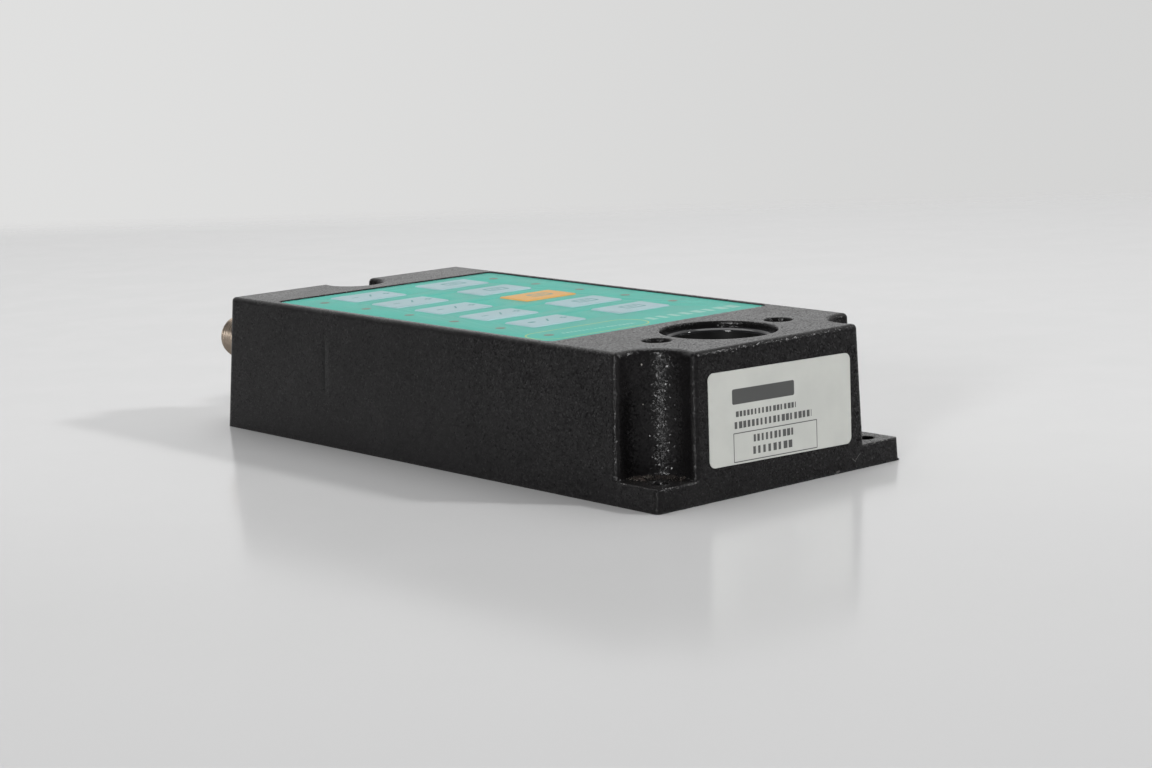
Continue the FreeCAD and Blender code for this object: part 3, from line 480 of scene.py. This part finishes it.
def dusted(tree, position, colour, dust_colour, share, **specks):
    """A colour with sparse specks of dust on it, which cover it by a share."""
    dust = use(tree, SPECKS, Position=position, **specks)["Mask"]
    return blend_colours(tree, compute(tree, "MULTIPLY", dust, share), colour, dust_colour)


def plain_finish(name, colour, grain=0.5, depth=0.01, tint=0.15, **sockets):
    """One colour that drifts a little, with a fine grain."""
    material, tree, shader, position = start_finish(name, **sockets)
    skin = use(tree, GRAIN, Position=position, Size=grain)
    lighter = [min(1.0, channel * (1 + tint) + 0.01) for channel in colour[:3]] + [1.0]
    darker = [channel * (1 - tint) for channel in colour[:3]] + [1.0]
    feed(tree, drifting(tree, skin, darker, lighter), shader.inputs["Base Color"])
    bumped(tree, shader, skin["Height"], depth=depth)
    return material


def painted_sink_shading(tree, position, coat):
    """A shallow mark of the casting, drawn as a painted highlight band beside a painted shade band.
    """
    x, y, z = split(tree, position)
    on_mark = ramp(tree, x, *SINK_WALL, 1.0, 0.0)
    for limit in (ramp(tree, z, *SINK_FOOT), ramp(tree, z, *SINK_TOP, 1.0, 0.0)):
        on_mark = compute(tree, "MULTIPLY", on_mark, limit)
    for rise, fall, tone in SINK_LIGHT_AND_SHADE_BANDS:
        band = compute(tree, "MULTIPLY", ramp(tree, y, *rise), ramp(tree, y, *fall, 1.0, 0.0))
        coat = blend_colours(tree, compute(tree, "MULTIPLY", band, on_mark), coat,
                             (tone, tone, tone, 1))
    return coat


def housing_coat():
    """Black powder coat: dense grains, edges painted paler as bare metal and as painted highlights,
    dust, paler patches on upward faces, scratches and a sink mark drawn in painted light and shade.
    """
    least_wear_and_sheen, bare_and_highlight_share, scratch_share, most_upward_pale = 0.12, 0.8, 0.25, 0.05
    front_tilt, rear_tilt = 0.62, 0.28
    material, tree, shader, position = start_finish("housing_coat", Specular_IOR_Level=0.22)
    skin = use(tree, GRAIN, Position=position, Size=0.42)
    coat = drifting(tree, skin, COAT_DARK, COAT_LIGHT)
    # Edges are painted paler: partly bare metal of real wear, partly painted highlights of grains
    # catching the light along the edges
    edge_wear_and_sheen = use(tree, EDGES, Position=position, Reach=0.5)["Mask"]
    glints = use(tree, SPECKS, Position=position, Spacing=0.5, Amount=0.5, Radius=0.17)["Mask"]
    wear_and_glints = compute(tree, "ADD", least_wear_and_sheen, glints)
    rubbed_and_highlit = compute(tree, "MULTIPLY", edge_wear_and_sheen, wear_and_glints, clamp=True)
    coat = blend_colours(tree, compute(tree, "MULTIPLY", rubbed_and_highlit, bare_and_highlight_share), coat, BARE_METAL_AND_HIGHLIGHT)
    coat = dusted(tree, position, coat, COAT_DUST, share=0.6,
                  Spacing=3.4, Amount=0.16, Radius=0.17)
    # Faces turned upwards are made paler in patches
    upward = ramp(tree, split(tree, add(tree, "NewGeometry").outputs["Normal"])[2], 0.2, 0.9)
    patchy = ramp(tree, skin["Tint"], 0.35, 0.75, 0.0, most_upward_pale)
    upward_pale = compute(tree, "MULTIPLY", upward, patchy)
    coat = blend_colours(tree, upward_pale, coat, COAT_UPWARD_PALE)
    y = split(tree, position)[1]
    scratch = any_of(tree, [print_mask(tree, position, shape, "xz") for shape in SCRATCHES])
    scratch = compute(tree, "MULTIPLY", scratch, compute(tree, "LESS_THAN", y, FRONT_WALL_Y))
    coat = blend_colours(tree, compute(tree, "MULTIPLY", scratch, scratch_share), coat,
                         SCRATCH_GREY)
    # The sink mark's light and shade are painted into the coat's colour
    feed(tree, painted_sink_shading(tree, position, coat), shader.inputs["Base Color"])
    rough = ramp(tree, skin["Tint"], *DRIFT, 0.22, 0.28)
    feed(tree, compute(tree, "SUBTRACT", rough, compute(tree, "MULTIPLY", edge_wear_and_sheen, 0.1)),
         shader.inputs["Roughness"])
    tilt = ramp(tree, y, -75.0, 20.0, front_tilt, rear_tilt)
    flakes = use(tree, FLAKES, Position=position, Size=0.4, Tilt=tilt)["Normal"]
    bumped(tree, shader, skin["Height"], depth=0.012, under=flakes)
    return material


def film_finish(name, ground, ink, shapes, pale_rows=()):
    """Printed polyester: a ground colour, shapes in ink, rows of pale dashes, a fine texture."""
    material, tree, shader, position = start_finish(name, Specular_IOR_Level=0.12)
    skin = use(tree, GRAIN, Position=position, Size=0.4)
    paler = [min(1.0, channel * 1.08 + 0.008) for channel in ground[:3]] + [1.0]
    colour = drifting(tree, skin, ground, paler)
    mask = any_of(tree, [print_mask(tree, position, shape) for shape in shapes])
    colour = blend_colours(tree, mask, colour, ink)
    for row in pale_rows:
        colour = blend_colours(tree, dash_mask(tree, position, row), colour, DASH_MINT)
    colour = dusted(tree, position, colour, FILM_DUST, share=0.5,
                    Spacing=4.0, Amount=0.15, Radius=0.09)
    feed(tree, colour, shader.inputs["Base Color"])
    feed(tree, ramp(tree, skin["Tint"], *DRIFT, 0.34, 0.42), shader.inputs["Roughness"])
    bumped(tree, shader, skin["Height"], depth=0.018)
    return material


def legend_shapes(key):
    """Printed marks of one key: dot or dash, slash and cross in the near row, else a dashed box."""
    x, y, _ = key_centres[key]
    if key > KEYS_PER_ROW:
        box, dash = (3.2, 1.9), (1.8, 0.35)
        return [((x, y), box, 0.4, 0.7, 0.0), ((x, y), dash, 0.2, 0.0, 0.0)]
    first = (1.2, 0.8) if key == 1 else (1.2, 0.35)
    slash, level_bar, upright_bar = (2.0, 0.28), (1.3, 0.35), (0.35, 1.1)
    left, right = x - 5.4, x + 5.6
    return [((left, y), first, first[1], 0.0, 0.0), ((x, y), slash, 0.1, 0.0, 55.0),
            ((right, y), level_bar, 0.1, 0.0, 0.0), ((right, y), upright_bar, 0.1, 0.0, 0.0)]


def label_finish():
    """Light grey foil with a plain bar, rows of dashes and a ruled box, all in dark ink."""
    material, tree, shader, position = start_finish("label_foil", Roughness=0.38)
    skin = use(tree, GRAIN, Position=position, Size=0.25)
    colour = drifting(tree, skin, LABEL_DARK, LABEL_LIGHT)
    x, _, z = middle("label_plate")
    tilt = -1.3  # the label sits a little askew
    ruled_box = ((x - 2.4, z - 7.5), (14.7, 3.55), 0.1, 0.24, tilt)
    heading = ((x - 6.2, z + 5.2), (10.9, 1.9), 0.5, 0.0, tilt)
    rows = [((x - 5.6, z + 0.85), (10.7, 0.7), 1.3, tilt),
            ((x - 3.1, z - 1.95), (13.7, 0.85), 1.5, tilt),
            ((x - 2.9, z - 5.8), (7.3, 0.9), 1.5, tilt),
            ((x - 3.4, z - 8.8), (7.1, 0.95), 1.8, tilt)]
    ink = any_of(tree, [print_mask(tree, position, shape, "xz") for shape in (ruled_box, heading)]
                 + [dash_mask(tree, position, row, "xz") for row in rows])
    ink_share = 0.9
    colour = blend_colours(tree, compute(tree, "MULTIPLY", ink, ink_share), colour, LABEL_INK)
    colour = dusted(tree, position, colour, LABEL_DUST, share=0.6,
                    Spacing=2.6, Amount=0.12, Radius=0.09)
    feed(tree, colour, shader.inputs["Base Color"])
    bumped(tree, shader, skin["Height"], depth=0.006)
    return material


def turned_metal(name, colour, centre, axis, **sockets):
    """Metal from a lathe: fine rings about an axis, by the distance of a point from it."""
    material, tree, shader, position = start_finish(name, Metallic=1.0, **sockets)
    x, y, z = split(tree, position)
    sides = ((x, centre[0]), (y, centre[1])) if axis == "z" else ((x, centre[0]), (z, centre[2]))
    offsets = [compute(tree, "SUBTRACT", value, start) for value, start in sides]
    squares = [compute(tree, "MULTIPLY", offset, offset) for offset in offsets]
    radius = compute(tree, "SQRT", compute(tree, "ADD", *squares))
    along = z if axis == "z" else y
    fineness = 9.0
    rings = noise(tree, join(tree, compute(tree, "MULTIPLY", radius, fineness),
                             compute(tree, "MULTIPLY", along, fineness)),
                  1.0, detail=3.0, roughness=0.6)
    skin = use(tree, GRAIN, Position=position, Size=0.6)
    dulling = 0.72
    dull = [channel * dulling for channel in colour[:3]] + [1.0]
    feed(tree, blend_colours(tree, ramp(tree, skin["Tint"], 0.35, 0.7), colour, dull),
         shader.inputs["Base Color"])
    feed(tree, ramp(tree, rings, *DRIFT, 0.22, 0.42), shader.inputs["Roughness"])
    bumped(tree, shader, rings, depth=0.006)
    return material


def board_finish():
    """Green laminate with thin copper tracks under the mask, on a one-millimetre raster."""
    material, tree, shader, position = start_finish("board_laminate", Roughness=0.38)
    cells = add(tree, "TexBrick", {"Vector": position, "Scale": 0.5, "Mortar Size": 0.03,
                                   "Color1": LAMINATE, "Color2": LAMINATE, "Mortar": TRACKS})
    weave = use(tree, GRAIN, Position=position, Size=0.35)
    feed(tree, drifting(tree, weave, cells.outputs["Color"], LAMINATE_LIGHT),
         shader.inputs["Base Color"])
    bumped(tree, shader, weave["Height"], depth=0.008)
    return material


def glass_finish():
    """Coated lens glass with a breath of dust on it."""
    material, tree, shader, position = start_finish(
        "lens_glass", Transmission_Weight=1.0, IOR=1.52, Base_Color=(0.80, 0.88, 0.90, 1))
    dust = use(tree, SPECKS, Position=position, Spacing=1.2, Amount=0.2, Radius=0.07)["Mask"]
    feed(tree, ramp(tree, dust, 0.0, 1.0, 0.03, 0.5), shader.inputs["Roughness"])
    skin = use(tree, GRAIN, Position=position, Size=2.0)
    bumped(tree, shader, skin["Height"], depth=0.002)
    return material


socket_centre = middle("left_socket_shell")
FINISHES = {
    "housing_coat": housing_coat(),
    "key_plastic": plain_finish("key_plastic", (0.60, 0.60, 0.57), Roughness=0.45),
    "black_plastic": plain_finish("black_plastic", (0.018, 0.018, 0.018), Roughness=0.5),
    "clear_plastic": plain_finish("clear_plastic", (0.70, 0.70, 0.62), Roughness=0.2,
                                  Transmission_Weight=0.6),
    "board_laminate": board_finish(),
    "zinc_steel": plain_finish("zinc_steel", (0.52, 0.53, 0.55), grain=0.3, depth=0.01,
                               tint=0.2, Metallic=1.0, Roughness=0.34),
    "black_steel": plain_finish("black_steel", (0.020, 0.020, 0.021), grain=0.3, depth=0.008,
                                tint=0.3, Metallic=0.6, Roughness=0.36),
    "plain_brass": plain_finish("plain_brass", (0.56, 0.38, 0.14), grain=0.4, depth=0.008,
                                tint=0.2, Metallic=1.0, Roughness=0.3),
    "nickel_brass": turned_metal("nickel_brass", (0.40, 0.33, 0.265, 1), socket_centre, "y"),
    "bare_aluminium": turned_metal("bare_aluminium", (0.60, 0.60, 0.60, 1), bore_centre, "z"),
    "base_sheet": plain_finish("base_sheet", (0.030, 0.030, 0.031), grain=0.7, depth=0.02,
                               tint=0.25, Roughness=0.42),
    "black_aluminium": plain_finish("black_aluminium", (0.003, 0.003, 0.003), grain=0.3,
                                    depth=0.004, tint=0.3, Roughness=0.4,
                                    Specular_IOR_Level=0.15),
    "lens_glass": glass_finish(),
    "black_rubber": plain_finish("black_rubber", (0.014, 0.014, 0.014), grain=0.8, depth=0.02,
                                 tint=0.2, Roughness=0.7),
    "label_foil": label_finish(),
}
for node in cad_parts.values():
    slot = node.data.materials[0].name.split(".")[0]
    if slot in FINISHES:
        node.data.materials[0] = FINISHES[slot]


# Keypad film

def film_sheet():
    """The flat film: its outline less the ten openings of the raised fields, with a thickness."""
    curve = bpy.data.curves.new("keypad_film", "CURVE")
    curve.dimensions = "2D"
    curve.fill_mode = "BOTH"
    rim = 0.04
    curve.extrude = (FILM_THICKNESS / 2 - rim) * MM
    curve.bevel_depth = rim * MM
    curve.bevel_resolution = 1
    half = (film_high - film_low)[:2] / 2 - rim
    outlines = [rounded_outline(*half, FILM_CORNER) + film_centre[:2]]
    for key in KEYS:
        opening = rounded_outline(*(FIELD_HALF + rim), FIELD_CORNER)
        outlines.append(opening + key_centres[key][:2] + FIELD_SHIFT)
    for outline in outlines:
        line = curve.splines.new("POLY")
        line.points.add(len(outline) - 1)
        flat = np.zeros((len(outline), 4))
        flat[:, :2] = outline * MM
        flat[:, 3] = 1
        line.points.foreach_set("co", flat.ravel())
        line.use_cyclic_u = True
    holder = bpy.data.objects.new("film_curve", curve)
    bpy.context.scene.collection.objects.link(holder)
    seen = holder.evaluated_get(bpy.context.evaluated_depsgraph_get())
    mesh = bpy.data.meshes.new_from_object(seen)
    bpy.data.objects.remove(holder)
    points = np.array([corner.co for corner in mesh.vertices]) / MM
    points[:, 2] += film_top - FILM_THICKNESS / 2
    faces = np.empty(len(mesh.polygons), object)
    faces[:] = [list(face.vertices) for face in mesh.polygons]
    print_y = key_centres[1][1] - key_pitch + 0.05
    outlined = ((-18.0, print_y), (19.2, 6.0), 6.0, 0.4, 0.0)
    small_row = ((-15.1, print_y - 0.9), (11.9, 0.6), 1.3, -5.0)
    large_row = ((19.5, print_y - 0.5), (16.0, 2.2), 4.0, -3.0)
    finish = film_finish("keypad_film", TEAL, OUTLINE_YELLOW, [outlined], [small_row, large_row])
    return new_piece("keypad_film", points, faces, finish)


def raised_field(key):
    """One embossed key field: rings drawn in from the opening climb a short ramp to a low dome."""
    insets = np.array([0.0, 0.06, 0.2, 0.4, 0.7, 1.2, 2.6, 4.2, 5.4])
    ramp_width, ramp_power = 0.24, 1.5
    ramp_share, dome_share = 0.86, 0.14
    smallest_corner = 0.3
    climb = 1 - np.exp(-(insets / ramp_width) ** ramp_power)
    dome = 1 - (1 - insets / insets[-1]) ** 2
    heights = EMBOSS * (ramp_share * climb + dome_share * dome)
    centre = key_centres[key]
    rings = []
    for inset, height in zip(insets, heights):
        corner = max(FIELD_CORNER - inset, smallest_corner)
        outline = rounded_outline(*(FIELD_HALF - inset), corner)
        level = np.full((len(outline), 1), film_top + height)
        rings.append(np.hstack([outline + centre[:2] + FIELD_SHIFT, level]))
    under = [ring - (0, 0, FILM_THICKNESS * 0.9) for ring in rings]
    points, faces = lofted(under[::-1] + rings)
    ground = FIELD_ORANGE if key == ORANGE_KEY else FIELD_PALE
    finish = film_finish(f"field_{key}", ground, LEGEND, legend_shapes(key))
    field = new_piece(f"key_field_{key}", points, faces, finish)
    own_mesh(field)


def indicator_windows():
    """Eleven smoky windows, each a thin disc whose top falls off as a shallow dome."""
    shares = np.array([1.0, 1.0, 0.85, 0.6, 0.3])
    levels = film_top + np.array([-0.05, 0.01, 0.03, 0.04, 0.045])
    columns = 28
    turn = np.arange(columns) / columns * FULL_TURN
    ring = np.stack([np.cos(turn), np.sin(turn)], -1) * INDICATOR_RADIUS
    spots = [(math.copysign(INDICATOR_X, centre[0]), centre[1] + INDICATOR_LEAD)
             for centre in key_centres.values()]
    spots.append((-INDICATOR_X, key_centres[1][1] - key_pitch + INDICATOR_LEAD))
    points = []
    faces = []
    for spot in spots:
        rings = [np.hstack([ring * share + spot, np.full((len(ring), 1), level)])
                 for share, level in zip(shares, levels)]
        disc_points, disc_faces = lofted(rings)
        faces.append(disc_faces + sum(len(batch) for batch in points))
        points.append(disc_points.reshape(-1, 3))
    finish = plain_finish("indicator_window", (0.125, 0.135, 0.100), grain=0.3, depth=0.002,
                          tint=0.2, Roughness=0.35, Specular_IOR_Level=0.2)
    new_piece("indicator_windows", np.concatenate(points), np.concatenate(faces),
              finish)


film = film_sheet()
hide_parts("keypad_overlay")
for key in KEYS:
    raised_field(key)
indicator_windows()


# Shoulder of the round opening

def bore_shoulder():
    """A glossy rim on the lens barrel: level by the bore's wall, ever steeper towards the middle.

    Each step turns the slope a little further, first slowly over the shoulder, then round a
    small lip down to nearly upright.
    """
    ledge = span("lens_barrel")[1][2]
    outer = BORE_RADIUS - 0.05
    level_width, rise = 0.8, 0.9
    radius, height = outer - level_width, ledge + rise
    profile = [(outer, height), (radius, height)]
    slopes = np.radians(np.concatenate([np.linspace(2, 35, 10), np.linspace(40, 89, 12)]))
    steps = np.concatenate([np.full(10, 0.15), np.full(7, 0.02), np.full(5, 0.07)])
    for slope, step in zip(slopes, steps):
        radius, height = radius - step * math.cos(slope), height - step * math.sin(slope)
        profile.append((radius, height))
    profile.append((outer, height))
    points, faces = turned(profile, (*bore_centre[:2], 0), 96)
    finish = plain_finish("bore_shoulder", (0.006, 0.006, 0.007), grain=0.3, depth=0.0006,
                          tint=0.3, Roughness=0.12, Specular_IOR_Level=0.34)
    new_piece("bore_shoulder", points, faces, finish)


bore_shoulder()


# Rear sockets

def threaded_socket(side):
    """The socket's shell with a thread on its nose.

    The closed profile runs along the bore and back along the outside. On the nose the radius
    drops by a triangle wave of the height less the turn's share, which makes a helical ridge.
    """
    low, high = span(f"{side}_socket_shell")
    centre_x, centre_z = middle(f"{side}_socket_shell")[[0, 2]]
    neck, nose_end = low[1], high[1]
    seal_back, flange_front = nose_end - 12.6, nose_end - 10.4
    bore, neck_radius, flange, nose = 4.6, 7.0, 8.8, 6.0
    small_chamfer, large_chamfer, plain_end = 0.3, 0.5, 0.6
    pitch, depth, rows_per_pitch, columns = 1.0, 0.32, 8, 64
    thread_y = np.arange(flange_front + plain_end, nose_end - plain_end, pitch / rows_per_pitch)
    profile = [(bore, neck), (neck_radius, neck), (neck_radius, seal_back),
               (flange - small_chamfer, seal_back), (flange, seal_back + small_chamfer),
               (flange, flange_front - large_chamfer), (flange - large_chamfer, flange_front),
               (nose, flange_front)]
    first_thread = len(profile)
    profile += [(nose, y) for y in thread_y]
    last_thread = len(profile)
    profile += [(nose - large_chamfer, nose_end), (bore + small_chamfer, nose_end),
                (bore, nose_end - small_chamfer)]
    points, faces = turned(profile, (centre_x, 0, centre_z), columns, "y")
    turn = np.arange(columns) / columns
    wave = (thread_y[:, None] / pitch - turn) % 1
    shrink = 1 - depth / nose * np.abs(2 * wave - 1)
    thread = points[first_thread:last_thread]
    for axis, start in ((0, centre_x), (2, centre_z)):
        thread[..., axis] = start + (thread[..., axis] - start) * shrink
    shell = new_piece(f"{side}_socket", points, faces, FINISHES["nickel_brass"])
    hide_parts(f"{side}_socket_shell")


for side in ("left", "right"):
    threaded_socket(side)


# Crumbs and paint

def crumbs(name, centres, sizes, seed, finish):
    """Small dirt grains: an octahedron at each place, its six corners pulled about at random."""
    rng = np.random.default_rng(seed)
    corners = np.array([(1, 0, 0), (0, 1, 0), (-1, 0, 0), (0, -1, 0), (0, 0, 1), (0, 0, -0.4)])
    sides = np.array([(0, 1, 4), (1, 2, 4), (2, 3, 4), (3, 0, 4),
                      (1, 0, 5), (2, 1, 5), (3, 2, 5), (0, 3, 5)])
    shape = corners * rng.uniform(0.5, 1.3, (len(centres), 6, 1))
    points = centres[:, None, :] + shape * sizes[:, None, None]
    faces = (np.arange(len(centres))[:, None, None] * 6 + sides).reshape(-1, 3)
    new_piece(name, points, faces, finish, sharp=20)


def scoop_dirt(name, colour, count, largest, seed):
    """Crumbs on the left ear, in clumps and thickest against the foot of the scoop's wall."""
    clumps, first, last, spread = 14, math.radians(-8), math.radians(98), math.radians(5)
    ear_hole, wall, smallest = 3.6, 9.0, 0.06
    heap_starts, heap_slope = 7.2, 0.25
    rng = np.random.default_rng(seed)
    clump = rng.uniform(first, last, clumps)
    angle = rng.choice(clump, count) + rng.normal(0, spread, count)
    from_wall = np.abs(rng.normal(0, 2.0, count))
    reach = np.clip(SCOOP_RADIUS - 0.1 - from_wall, ear_hole, wall)
    size = rng.uniform(smallest, largest, count) * (0.5 + 0.5 * reach / SCOOP_RADIUS)
    flat = np.stack([np.cos(angle), np.sin(angle)], -1) * reach[:, None]
    heap = rng.uniform(0.2, 1.0, count) * np.clip(reach - heap_starts, 0.2, 2.0) * heap_slope
    centres = np.hstack([flat, heap[:, None]]) + SCOOP_FOOT
    finish = plain_finish(name, colour, grain=0.2, depth=0.02, tint=0.6, Roughness=0.9)
    crumbs(name, centres, size, seed + 1, finish)


scoop_dirt("dry_dirt", (0.040, 0.029, 0.024), 420, 0.26, 7)
scoop_dirt("pale_grit", (0.20, 0.185, 0.16), 80, 0.2, 21)


def paint_bead():
    """A drop of paint at the foot of the right front corner."""
    place = (42.7, -89.75, 0.25)
    profile = [(0, -0.24), (0.3, -0.2), (0.45, -0.05), (0.42, 0.12), (0.25, 0.26), (0, 0.3)]
    points, faces = turned(profile, place, 16)
    new_piece("paint_bead", points, faces, FINISHES["housing_coat"])


paint_bead()


# Studio

CAMERA_PLACE = Vector((-476.69, -552.65, 141.96))
view_azimuth = math.radians(-41.449)
view_elevation = math.radians(9.805)
view_roll = math.radians(-1.733)
LENS, SENSOR = 84.81, 36.0
# The table top's colour is painted darker towards the camera: painted shade of the light falling
# off
TABLE_NEAR_SHADE, TABLE_FAR_LIGHT = (0.60, 0.60, 0.60, 1), (0.662, 0.662, 0.662, 1)
ROOM_DARK, ROOM_BRIGHT = (0.09, 0.09, 0.095, 1), (0.75, 0.75, 0.75, 1)
BACKDROP_LEFT, BACKDROP_RIGHT = (0.745, 0.745, 0.74, 1), (0.66, 0.66, 0.655, 1)
away = np.array([-math.sin(view_azimuth), math.cos(view_azimuth)])
aside = np.array([away[1], -away[0]])


def area_lamp(name, place, aim, size, power, spread=180):
    """A rectangular lamp at a place, turned to an aim, with its beam's spread in degrees."""
    data = bpy.data.lights.new(name, "AREA")
    data.shape = "RECTANGLE"
    data.size, data.size_y = (side * MM for side in size)
    data.energy = power
    data.spread = math.radians(spread)
    lamp = bpy.data.objects.new(name, data)
    lamp.location = Vector(place) * MM
    lamp.rotation_euler = (Vector(aim) - Vector(place)).to_track_quat("-Z", "Y").to_euler()
    bpy.context.scene.collection.objects.link(lamp)


def studio_floor():
    """A pale glossy table top that fades out behind the object, square to the view, with painted
    shade darkening it towards the camera.
    """
    far, near, half_width, fade, sunk = 620.0, 3000.0, 2600.0, 90, 0.02
    material, tree, shader, position = start_finish("studio_floor", Roughness=0.14, IOR=1.215)
    depth = add(tree, "VectorMath", operation="DOT_PRODUCT")
    feed(tree, position, depth.inputs[0])
    depth.inputs[1].default_value = (*away, 0)
    depth = depth.outputs["Value"]
    # Painted shade: the table's colour darkens towards the camera
    feed(tree, blend_colours(tree, ramp(tree, depth, -210, 40), TABLE_NEAR_SHADE, TABLE_FAR_LIGHT),
         shader.inputs["Base Color"])
    haze = noise(tree, position, 0.03, detail=3.0)
    feed(tree, ramp(tree, haze, *DRIFT, 0.12, 0.17), shader.inputs["Roughness"])
    feed(tree, ramp(tree, depth, far - fade, far, 1.0, 0.0), shader.inputs["Alpha"])
    corners = [away * far - aside * half_width, away * far + aside * half_width,
               -away * near + aside * half_width, -away * near - aside * half_width]
    mesh = bpy.data.meshes.new("studio_floor")
    mesh.from_pydata([(x * MM, y * MM, -sunk * MM) for x, y in corners], [], [(3, 2, 1, 0)])
    mesh.materials.append(material)
    floor = bpy.data.objects.new("studio_floor", mesh)
    bpy.context.scene.collection.objects.link(floor)


def studio_world():
    """The room's light comes mostly from the backdrop's side; the lens sees the pale backdrop."""
    upwards = 0.35
    world = bpy.data.worlds.new("studio")
    bpy.context.scene.world = world
    world.use_nodes = True
    tree = world.node_tree
    room = tree.nodes["Background"]
    toward = add(tree, "VectorMath", operation="DOT_PRODUCT")
    direction = add(tree, "TexCoord").outputs["Generated"]
    feed(tree, direction, toward.inputs[0])
    toward.inputs[1].default_value = (*away, upwards)
    feed(tree, blend_colours(tree, ramp(tree, toward.outputs["Value"], -0.3, 0.9),
                             ROOM_DARK, ROOM_BRIGHT), room.inputs["Color"])
    across = add(tree, "VectorMath", operation="DOT_PRODUCT")
    feed(tree, direction, across.inputs[0])
    across.inputs[1].default_value = (*aside, 0)
    shade = blend_colours(tree, ramp(tree, across.outputs["Value"], -0.25, 0.25),
                          BACKDROP_LEFT, BACKDROP_RIGHT)
    backdrop = add(tree, "Background", {"Color": shade})
    ray = add(tree, "LightPath").outputs
    seen = compute(tree, "MAXIMUM", ray["Is Camera Ray"], ray["Is Transmission Ray"])
    mixed = add(tree, "MixShader", {0: seen, 1: room.outputs[0], 2: backdrop.outputs[0]})
    tree.links.new(mixed.outputs[0], tree.nodes["World Output"].inputs["Surface"])


def make_camera():
    """The camera of the photo, solved from corners of the housing."""
    data = bpy.data.cameras.new("photo_view")
    data.sensor_width = SENSOR
    data.lens = LENS
    data.clip_start, data.clip_end = 0.01, 20.0
    camera = bpy.data.objects.new("photo_view", data)
    back = Vector((math.sin(view_azimuth) * math.cos(view_elevation),
                   -math.cos(view_azimuth) * math.cos(view_elevation),
                   math.sin(view_elevation)))
    camera.location = CAMERA_PLACE * MM
    camera.rotation_mode = "QUATERNION"
    level = (-back).to_track_quat("-Z", "Y")
    camera.rotation_quaternion = level @ Quaternion((0, 0, 1), view_roll)
    bpy.context.scene.collection.objects.link(camera)
    bpy.context.scene.camera = camera


make_camera()
studio_floor()
studio_world()
# The near lamp draws the bright streak in the left scoop, the front one lights the label.
area_lamp("overhead", (150, 300, 900), (0, 0, 0), (800, 600), 3.35)
area_lamp("near_left", (-2695, -1250, 776), (-37, -84, 20), (560, 560), 5.6, 60)
area_lamp("front_right", (1444, -2078, 1740), (0, -90, 20), (300, 300), 4.4, 60)
bpy.context.scene.view_settings.view_transform = "Standard"
